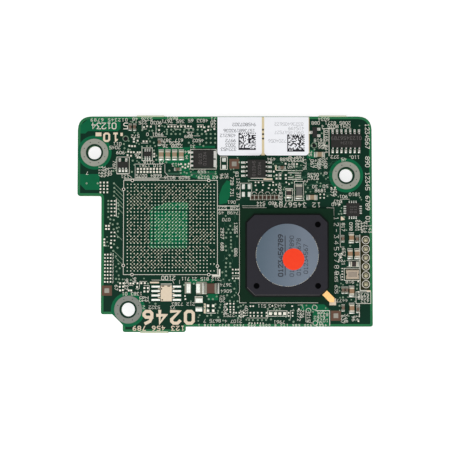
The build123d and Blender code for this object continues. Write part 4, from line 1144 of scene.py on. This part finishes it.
for x, y in holes:
    for k in range(8):
        turn = math.radians(22.5 + 45 * k)
        dot_x, dot_y = x + DOT_CIRCLE * math.cos(turn), y + DOT_CIRCLE * math.sin(turn)
        hole_dots.disc(dot_x, dot_y, 0.14, LAND_DOT, 8)
for x, y in circles:
    hole_dots.disc(x, y, 0.3, HOLE_DOT, 12)
for box in ((-18.2, -18.1, -17.4, -17.85), (-16.5, -18.1, -15.7, -17.85)):
    hole_dots.sheet(box_outline(*box), MARK_DOT)
for x, y in ((-18.2, -18.75), (-17.95, -21.9)):
    hole_dots.disc(x, y, 0.22, MARK_DOT, 12)
single_holes = [
    (-32.0, 11.7), (-31.9, 10.4), (-31.9, 9.3), (-32.0, 8.1), (-33.2, 8.7), (-30.8, 6.0), (-30.7, 4.3),
    (-30.8, 2.0), (-33.0, 1.3), (-32.0, 1.1), (-32.3, -0.2), (-30.9, 0.0), (-32.8, -1.0), (-32.0, -1.6),
    (-30.8, -2.2), (-30.8, -3.8), (-31.9, -5.9), (-30.9, -6.9), (-32.1, -7.8), (1.6, -0.6), (1.1, -1.6),
    (2.3, -1.7), (0.5, -2.6), (1.7, -2.6), (0.4, -4.0), (1.8, -3.8), (1.8, -4.8), (1.8, -5.9), (1.8, -6.8),
    (0.3, -6.5), (0.4, -7.7), (2.2, -7.8), (1.4, -9.1), (-1.2, -10.0), (0.5, -10.0), (0.4, -11.3),
    (1.6, -11.4), (0.3, -12.5), (1.6, -12.4), (-0.7, -14.0), (0.4, -13.7), (1.6, -13.7), (0.4, -14.9),
    (-28.1, -15.8), (-27.0, -16.2), (-4.6, -21.7), (-3.4, -21.7), (-5.0, -26.5), (-39.9, 11.7),
    (-36.7, 11.7), (-40.0, 28.1), (-29.2, 23.1), (-29.0, 21.9), (-22.5, 22.5), (-20.5, 23.5), (-26.6, 18.3),
    (-16.9, 17.8), (-15.4, 17.8), (-16.0, 15.4), (-17.4, 28.2), (23.3, 11.4), (24.0, 12.3), (29.3, 6.3),
    (27.2, 6.3), (33.7, 2.9), (38.7, -8.7), (33.0, -18.3), (34.0, -21.2), (33.0, -23.6), (4.6, -23.7),
    (5.4, -23.7), (5.0, -24.5), (12.4, -24.5), (14.2, -24.5), (15.8, -24.5), (17.6, -24.4), (13.3, -27.5),
    (20.4, 16.2), (20.2, 9.0), (-19.9, -23.0), (-21.5, -20.4), (-33.6, 6.6), (-33.6, 5.6), (-33.6, 4.5),
    (-33.6, 3.5), (-33.6, 1.9), (7.0, -27.65), (8.1, -27.7), (9.5, -27.65), (10.7, -27.7), (11.9, -27.65),
    (14.6, -27.45), (15.7, -27.5), (17.2, -27.5), (18.6, -27.6),
]
for x, y in single_holes:
    drill(x, y)
for i in range(12):
    for y in (27.3, 26.05, 24.8, 23.5):
        drill(-16.75 + 1.27 * i, y)
print(len(hole_rings.faces), "holes in rows")

# %% Holes by lot
crowd_areas = [
    ((-27.8, 22.4, -3.2, 30.0), 160, 11), ((-32.8, 13.3, -19.4, 23.0), 110, 12),
    ((-34.2, -17.0, -29.8, 8.0), 60, 13), ((-31.6, -23.6, -21.5, -15.2), 75, 14),
    ((-1.4, -22.6, 3.9, 4.9), 25, 15), ((-12.4, -28.5, 4.0, -15.6), 160, 16),
    ((-8.0, -28.5, 29.6, -23.1), 110, 17), ((13.6, 6.6, 30.6, 19.6), 220, 18),
    ((25.0, 18.0, 40.0, 30.0), 60, 19), ((32.8, -28.4, 39.6, 8.4), 240, 20), ((1.6, 5.2, 8.2, 19.4), 60, 21),
    ((-13.0, 13.0, -1.8, 16.0), 40, 22),
]
for (x0, y0, x1, y1), tries, start in crowd_areas:
    dice = random.Random(start)
    for attempt in range(tries):
        drill(dice.uniform(x0, x1), dice.uniform(y0, y1), dice.choice((0.2, 0.24, 0.28)))
hole_rings.piece("hole_rings", hole_lacquer, "land")
hole_dots.piece("hole_dots", dark_hole, "board")
prints.piece("board_print", ink, "white_paper")

# %% [markdown]
# ## Tracks under the lacquer
# Copper tracks show through the lacquer as paler lines. Few are seen clearly: the fan of diagonals
# left of the empty chip place, which is as pale as the rings of the holes, and short, darker runs
# between the crowded areas. They could be drawn in the lacquer's shader, but the pen that draws the
# print follows any route.

# %% Pale tracks
fan = Layer()
FAN, RUN, RUN_AREA, RUN_WIDTH = 0.009, 0.008, 0.007, 0.1
fan_starts = [
    (-31.7, 11.5, 2.3), (-31.6, 10.2, 2.2), (-31.6, 9.0, 2.2), (-31.6, 7.8, 2.2), (-30.6, 5.8, 1.2),
    (-30.5, 4.1, 1.1), (-31.5, -2.8, 1.9), (-32.9, -8.2, 1.0), (-31.8, -8.0, 2.4), (-31.6, -9.6, 1.9),
]
for x, y, reach in fan_starts:
    fan.line([(x, y), (x + reach, y - reach)], 0.11, FAN)
fan.piece("fan_tracks", hole_lacquer, "board")

runs = Layer()
dice = random.Random(31)
for k in range(40):
    x, y = dice.uniform(-1.5, 3.0), dice.uniform(-22.0, 4.0)
    run, turn = dice.uniform(0.6, 2.0), dice.choice((-1, 1))
    runs.line([(x, y), (x + 0.5, y + 0.5 * turn), (x + 0.5, y + (0.5 + run) * turn)], RUN_WIDTH, RUN)
for k in range(120):
    x, y = dice.uniform(14.0, 31.0), dice.uniform(7.0, 19.0)
    run, turn = dice.uniform(0.6, 2.2), dice.choice((-1, 1))
    runs.line([(x, y), (x + run, y), (x + run + 0.4, y + 0.4 * turn)], RUN_WIDTH, RUN)
for box in ((-17.0, 14.2, -13.0, 14.75), (-9.8, 14.25, -3.0, 14.8)):
    runs.sheet(box_outline(*box), RUN_AREA)
runs.piece("pale_tracks", trace_green, "board")

# %% [markdown]
# ## Alignment squares and header holes
# Assembly machines find the board by bright squares in windows of bare brown laminate. At the right
# edge is a row of holes for pins, filled with solder: each has a metal ring and a drop in its middle.
# The crystal's lid is welded to its case along a paler rim, and the holes of the two connector pegs
# have narrow rims too. All of these are rings, domes and frames from the layer above.

# %% Windows and drops
windows = Layer()
WINDOW, GROUND, COLLAR = 0.01, 0.011, 0.03
WINDOW_HALF = 1.45
for box in solids("align_targets"):
    x, y = middle(box)
    windows.sheet(box_outline(x - WINDOW_HALF, y - WINDOW_HALF, x + WINDOW_HALF, y + WINDOW_HALF), WINDOW)
windows.piece("bare_windows", rust_laminate, "board")

drops = Layer()
collars = Layer()
grounds = Layer()
grounds.sheet(box_outline(39.15, -19.0, 41.65, -3.4), GROUND)
for box in solids("pin_solder"):
    x, y = middle(box)
    collars.ring(x, y, 0.45, 0.66, COLLAR, 20)
    drops.dome(x, y, 0.56, 0.35, 16)
grounds.piece("header_grounds", header_ground, "board")
collars.piece("header_collars", pin_drop, "land")
drops.piece("header_drops", pin_drop, "solder", smooth=True)

# %% Welded rim of the crystal's lid
lid_rim = Layer(base=top_of("crystal_lid"))
x0, y0, x1, y1 = solids("crystal_lid")[0]
lid_rim.frame(x0 + 0.2, y0 + 0.2, x1 - 0.2, y1 - 0.2, 0.26, SKIN)
lid_rim.piece("crystal_rim", crystal_case, "crystal_metal")

# %% Rims of the two peg holes
rims = Layer()
for x, y in ((-28.7, 24.7), (25.9, 22.76)):
    rims.ring(x, y, 0.72, 0.86, COLLAR, 24)
rims.piece("peg_hole_rims", hole_lacquer, "land")

# %% [markdown]
# ## Print on the labels
# Label printers make small grey rows and a square of black and white dots. Here the rows are plain
# numbers and the dots are random, so they carry no message. Between the labels a strip of their
# backing shows, which is a thin slab.

# %% Rows and dot squares
paper_top = top_of("label_left")
rows = Layer(base=paper_top)
dots = Layer(base=paper_top)
dice = random.Random(5)
left_rows = [(5.6, 28.8, 9), (4.2, 27.0, 12), (0.9, 25.6, 6), (1.7, 24.1, 4), (1.7, 22.8, 4), (1.1, 21.6, 6)]
right_rows = [(18.6, 28.9, 11), (20.7, 27.7, 6), (18.6, 26.5, 11), (15.2, 24.0, 7)]
for x, y, count in left_rows + right_rows:
    digits = "".join(dice.choice("0123456789") for k in range(count))
    write(rows, digits, x, y, SMALL, 180, PEN if x < 10 else PEN / 2, STAMP, 5.4)
DOTS, SQUARE = 16, 5.0
cell = SQUARE / DOTS
for x0, y0 in ((4.0, 21.4), (18.1, 20.9)):
    for i in range(DOTS):
        for j in range(DOTS):
            last = DOTS - 1 in (i, j)
            dark = (i + j) % 2 == 0 if last else dice.random() < 0.5
            if dark or 0 in (i, j):
                x, y = x0 + i * cell, y0 + j * cell
                dots.sheet(box_outline(x, y, x + cell, y + cell), STAMP)
rows.piece("label_rows", grey_ink, "white_paper")
dots.piece("label_dots", black_ink, "white_paper")

seam = Layer()
SEAM, SEAM_DOT = 0.06, 0.066
seam.slab(10.55, 19.85, 11.6, 30.95, SEAM)
label_edge = flat_box("label_right")[2]
seam.slab(label_edge + 0.01, 20.4, label_edge + 0.2, 30.9, SEAM)
seam.piece("label_seam", tan_paper, "white_paper")
seam_dots = Layer()
for y in (27.3, 26.0, 24.7):
    seam_dots.disc(11.1, y, 0.3, SEAM_DOT)
seam_dots.piece("seam_dots", dark_hole, "board")

# %% [markdown]
# ## Marks on the chips
# The metal disc of the network chip carries dark print along its height, partly under the sticker,
# and short arcs of painted glint lie along its edge, where it would catch the light. The cap around
# it has three dimples darkened with painted shade, and a painted highlight as a fine bright line
# along its lower edge. Moulded chips have faint marks burnt in by a laser. The rows of print are
# plain numbers here.

# %% Print and painted glints of the metal disc
slug_top = top_of("chip_slug")
slug_print = Layer(base=slug_top)
slug_rows = [("0123456789", 16.0, -9.2, 1.25, 0.24), ("01234567890", 19.2, -9.4, 1.1, 0.15),
             ("0123 45678", 21.2, -9.6, 1.1, 0.15), ("01234567", 23.2, -10.2, 1.1, 0.15)]
for digits, x, y, size, pen in slug_rows:
    write(slug_print, digits, x, y, size, 90, pen, STAMP, 5.9)
slug_print.line([(17.3, -3.6), (17.3, -14.8)], 0.25, STAMP)
slug_print.piece("slug_print", slug_ink, "mould")

# Painted glints: short bright arcs of tin along the disc's edge, where it would catch the light.
slug_glints = Layer(base=slug_top)
mid_x, mid_y = middle(solids("chip_slug")[0])
EDGE, GLINT = 8.95, 0.003
for k in range(60):
    if k % 6 != 4:
        turn = math.radians(-215 + 4.2 * k)
        arc = [turn + math.radians(1.3) * i for i in range(3)]
        path = [(mid_x + EDGE * math.cos(t), mid_y + EDGE * math.sin(t)) for t in arc]
        slug_glints.line(path, 0.08, GLINT)
slug_glints.piece("slug_edge_painted_glints", tin, "tin")

# %% Details of the cap and laser marks
DIMPLE_OUT, DIMPLE_RADIUS, DIMPLE_DEPTH = 8.8, 0.84, 0.15
# Painted shade: near-black discs on the floors of the three dimples.
dimples = Layer(base=top_of("chip_cap") - DIMPLE_DEPTH)
for side_x, side_y in ((1, 1), (-1, -1), (1, -1)):
    dimples.disc(mid_x + DIMPLE_OUT * side_x, mid_y + DIMPLE_OUT * side_y, DIMPLE_RADIUS, SKIN, 28)
dimples.piece("dimple_floors_painted_shade", dimple_shade_paint, "mould")

# Painted highlight: a fine bright line along the cap's lower bevel, where light would glance off it.
cap_painted_highlight = Layer(base=top_of("chip_cap"))
LINE_OUT, LINE_CUT = 11.42, 9.26
low_y = mid_y - LINE_OUT
highlight_path = [(mid_x - LINE_OUT, mid_y - LINE_CUT), (mid_x - LINE_CUT, low_y), (mid_x + 9.2, low_y)]
cap_painted_highlight.line(highlight_path, FINE, SKIN)
cap_painted_highlight.piece("cap_edge_painted_highlight", laser_mark_and_highlight, "mould")

marks = Layer(base=0.0)
mark_rows = [
    ("logic_body", "0123456789", 0.9, 180, 0.7), ("logic_body", "01234", 0.7, 180, -0.7),
    ("flash_body", "012345", 0.75, 90, -0.8), ("flash_body", "01234", 0.75, 90, 0.8),
    ("switch_body", "0123", 0.8, 90, -0.9), ("switch_body", "01234", 0.8, 90, 0.4),
    ("clock_body", "012", 0.7, 90, -0.5), ("clock_body", "012", 0.7, 90, 0.6),
]
for name, digits, size, turn, shift in mark_rows:
    x, y = middle(flat_box(name))
    x, y = (x, y + shift) if turn == 180 else (x + shift, y)
    write(marks, digits, x, y, size, turn, 0.13, top_of(name) + SKIN)
marks.piece("laser_marks", laser_mark_and_highlight, "package")

# %% [markdown]
# ## The underside
# The photograph doesn't show the lower face. Such cards have the same rim, the lands of the mounting
# holes, the drilled holes that come through, and a printed frame round the connector. The print is
# mirrored as it is drawn, because this face is looked at from below.

# %% Underside rim, lands and holes
low_band = Layer(under=True)
add_band(low_band)
low_band.piece("edge_band_under", rim_green, "board")
low_lands = Layer(under=True)
low_rings = Layer(under=True)
low_dots = Layer(under=True)
LOW_PAD, LOW_RING, LOW_DOT, LOW_LAND = 0.01, 0.012, 0.018, 0.02


def low_hole(x, y, radius, dot):
    low_rings.disc(x, y, radius, LOW_RING, 8)
    low_dots.disc(x, y, dot, LOW_DOT, 8)


CHIP_DX, CHIP_DY = 33.46, -8.0
for x, y in holes:
    low_lands.ring(x, y, 2.5, 4.0, LOW_LAND, 48)
for u in range(-12, 13):
    for v in range(-12, 13):
        x, y = MID_X + u * PITCH, MID_Y + v * PITCH
        low_hole(x, y, 0.22, 0.1)
        if not (-8 < u < 8 and -4 < v < 4):
            low_hole(x + CHIP_DX, y + CHIP_DY, 0.22, 0.1)
for box in solids("pin_solder"):
    low_lands.ring(*middle(box), 0.45, 0.85, LOW_LAND, 18)
for x0, y0, x1, y1 in solids("under_ends"):
    low_lands.sheet(box_outline(x0 - 0.15, y0 - 0.2, x1 + 0.15, y1 + 0.2), LOW_PAD)
x0, y0, x1, y1 = flat_box("connector_housing")
for x, y, radius in drilled:
    if not (x0 - 1 < x < x1 + 1 and y0 - 1 < y < y1 + 1):
        low_hole(x, y, radius, 0.4 * radius)
low_lands.piece("lands_under", land_metal, "land")
low_rings.piece("hole_rings_under", hole_lacquer, "solder")
low_dots.piece("hole_dots_under", dark_hole, "board")

# %% Underside print
low_print = Layer(under=True)
low_print.line([(x0 - 0.7, y1), (x0 - 0.7, y0 - 0.7), (x1 + 0.7, y0 - 0.7), (x1 + 0.7, y1)], WIDE, INK)
write(low_print, "1", x1 + 2.0, y0 + 1.0, 1.4, 0)
write(low_print, "2", x0 - 2.0, y0 + 1.0, 1.4, 0)
write(low_print, "0123 456 789", 0.0, -26.5, 1.4, 0)
for box in solids("under_bodies"):
    x, y = middle(box)
    low_print.frame(x - 0.95, y - 1.25, x + 0.95, y + 1.25, FINE, INK)
low_print.piece("print_under", ink, "white_paper")

# %% [markdown]
# ## Floor, light and camera
# The card lies on a pale floor under soft light: a large lamp above the near side and an even sky.
# Shiny metal would mirror that sky as one flat tone, so for mirrored rays alone the far side of the
# sky is darker. To the camera the floor and the sky are white, and the floor keeps the shadow.

# %% Floor
def shown_rays(tree):
    """1 for rays that show a thing to the camera, also through a mirror or glass, and 1 for mirrored ones."""
    kinds = ("Is Camera Ray", "Is Glossy Ray", "Is Transmission Ray")
    seen, mirrored, through = [Wire(tree).node("LightPath", {}, {}, kind) for kind in kinds]
    return seen + mirrored + through, mirrored


floor_mesh = bpy.data.meshes.new("floor")
floor_mesh.from_pydata([(-3, -3, 0), (3, -3, 0), (3, 3, 0), (-3, 3, 0)], [], [[0, 1, 2, 3]])
floor = bpy.data.objects.new("floor", floor_mesh)
bpy.context.scene.collection.objects.link(floor)
floor_paint = bpy.data.materials.new("pale_floor")
floor_paint.use_nodes = True
tree = floor_paint.node_tree
shader = tree.nodes["Principled BSDF"]
glow = shown_rays(tree)[0].mix((0, 0, 0, 1), (0.78, 0.78, 0.78, 1))
tree.links.new(glow.socket, shader.inputs["Emission Color"])
shader.inputs["Emission Strength"].default_value = 1.0
shader.inputs["Base Color"].default_value = (0.5, 0.5, 0.5, 1)
shader.inputs["Roughness"].default_value = 0.9
shader.inputs["Specular IOR Level"].default_value = 0.0
floor_mesh.materials.append(floor_paint)
print("the floor lies at", floor.location.z)

# %% Sky and lamp
scene = bpy.context.scene
scene.view_settings.view_transform = "Standard"
world = bpy.data.worlds.new("studio")
scene.world = world
world.use_nodes = True
tree = world.node_tree
background = tree.nodes["Background"]
shown, mirrored = shown_rays(tree)
direction = Wire(tree).node("TexCoord", {}, {}, "Generated")
far_side = Wire(tree).node("SeparateXYZ", {}, {0: direction}, "Y")
far_side = far_side.sum("MAXIMUM", far_side, 0.0)
strength = 0.5 + shown * 0.5 - mirrored * far_side * 0.5
tree.links.new(strength.socket, background.inputs["Strength"])
background.inputs["Color"].default_value = (1, 1, 1, 1)
lamp_data = bpy.data.lights.new("soft_lamp", "AREA")
lamp_data.size = 0.7
lamp_data.energy = 3.6
lamp = bpy.data.objects.new("soft_lamp", lamp_data)
lamp.location = (-0.1, -0.35, 0.6)
lamp.rotation_euler = (-lamp.location).to_track_quat("-Z", "Y").to_euler()
scene.collection.objects.link(lamp)
print("lamp at", tuple(round(c, 2) for c in lamp.location))

# %% Camera
DISTANCE, TILT, WIDTH = 350.0, math.radians(3.15), 129.8
target = Vector((0.085, -0.35, 6.6))
camera_data = bpy.data.cameras.new("camera")
camera_data.sensor_width = 36
camera_data.lens = 36 * DISTANCE / WIDTH
camera = bpy.data.objects.new("camera", camera_data)
back = Vector((0, -math.sin(TILT), math.cos(TILT)))
camera.location = (target + DISTANCE * back) / 1000
camera.rotation_euler = (-back).to_track_quat("-Z", "Y").to_euler()
camera_data.clip_start = 0.01
scene.collection.objects.link(camera)
scene.camera = camera
print("lens", round(camera_data.lens, 1))

# %% [markdown]
# ## Last update
# The view layer is updated once more, so that every object's place is current.

# %% Last update
bpy.context.view_layer.update()
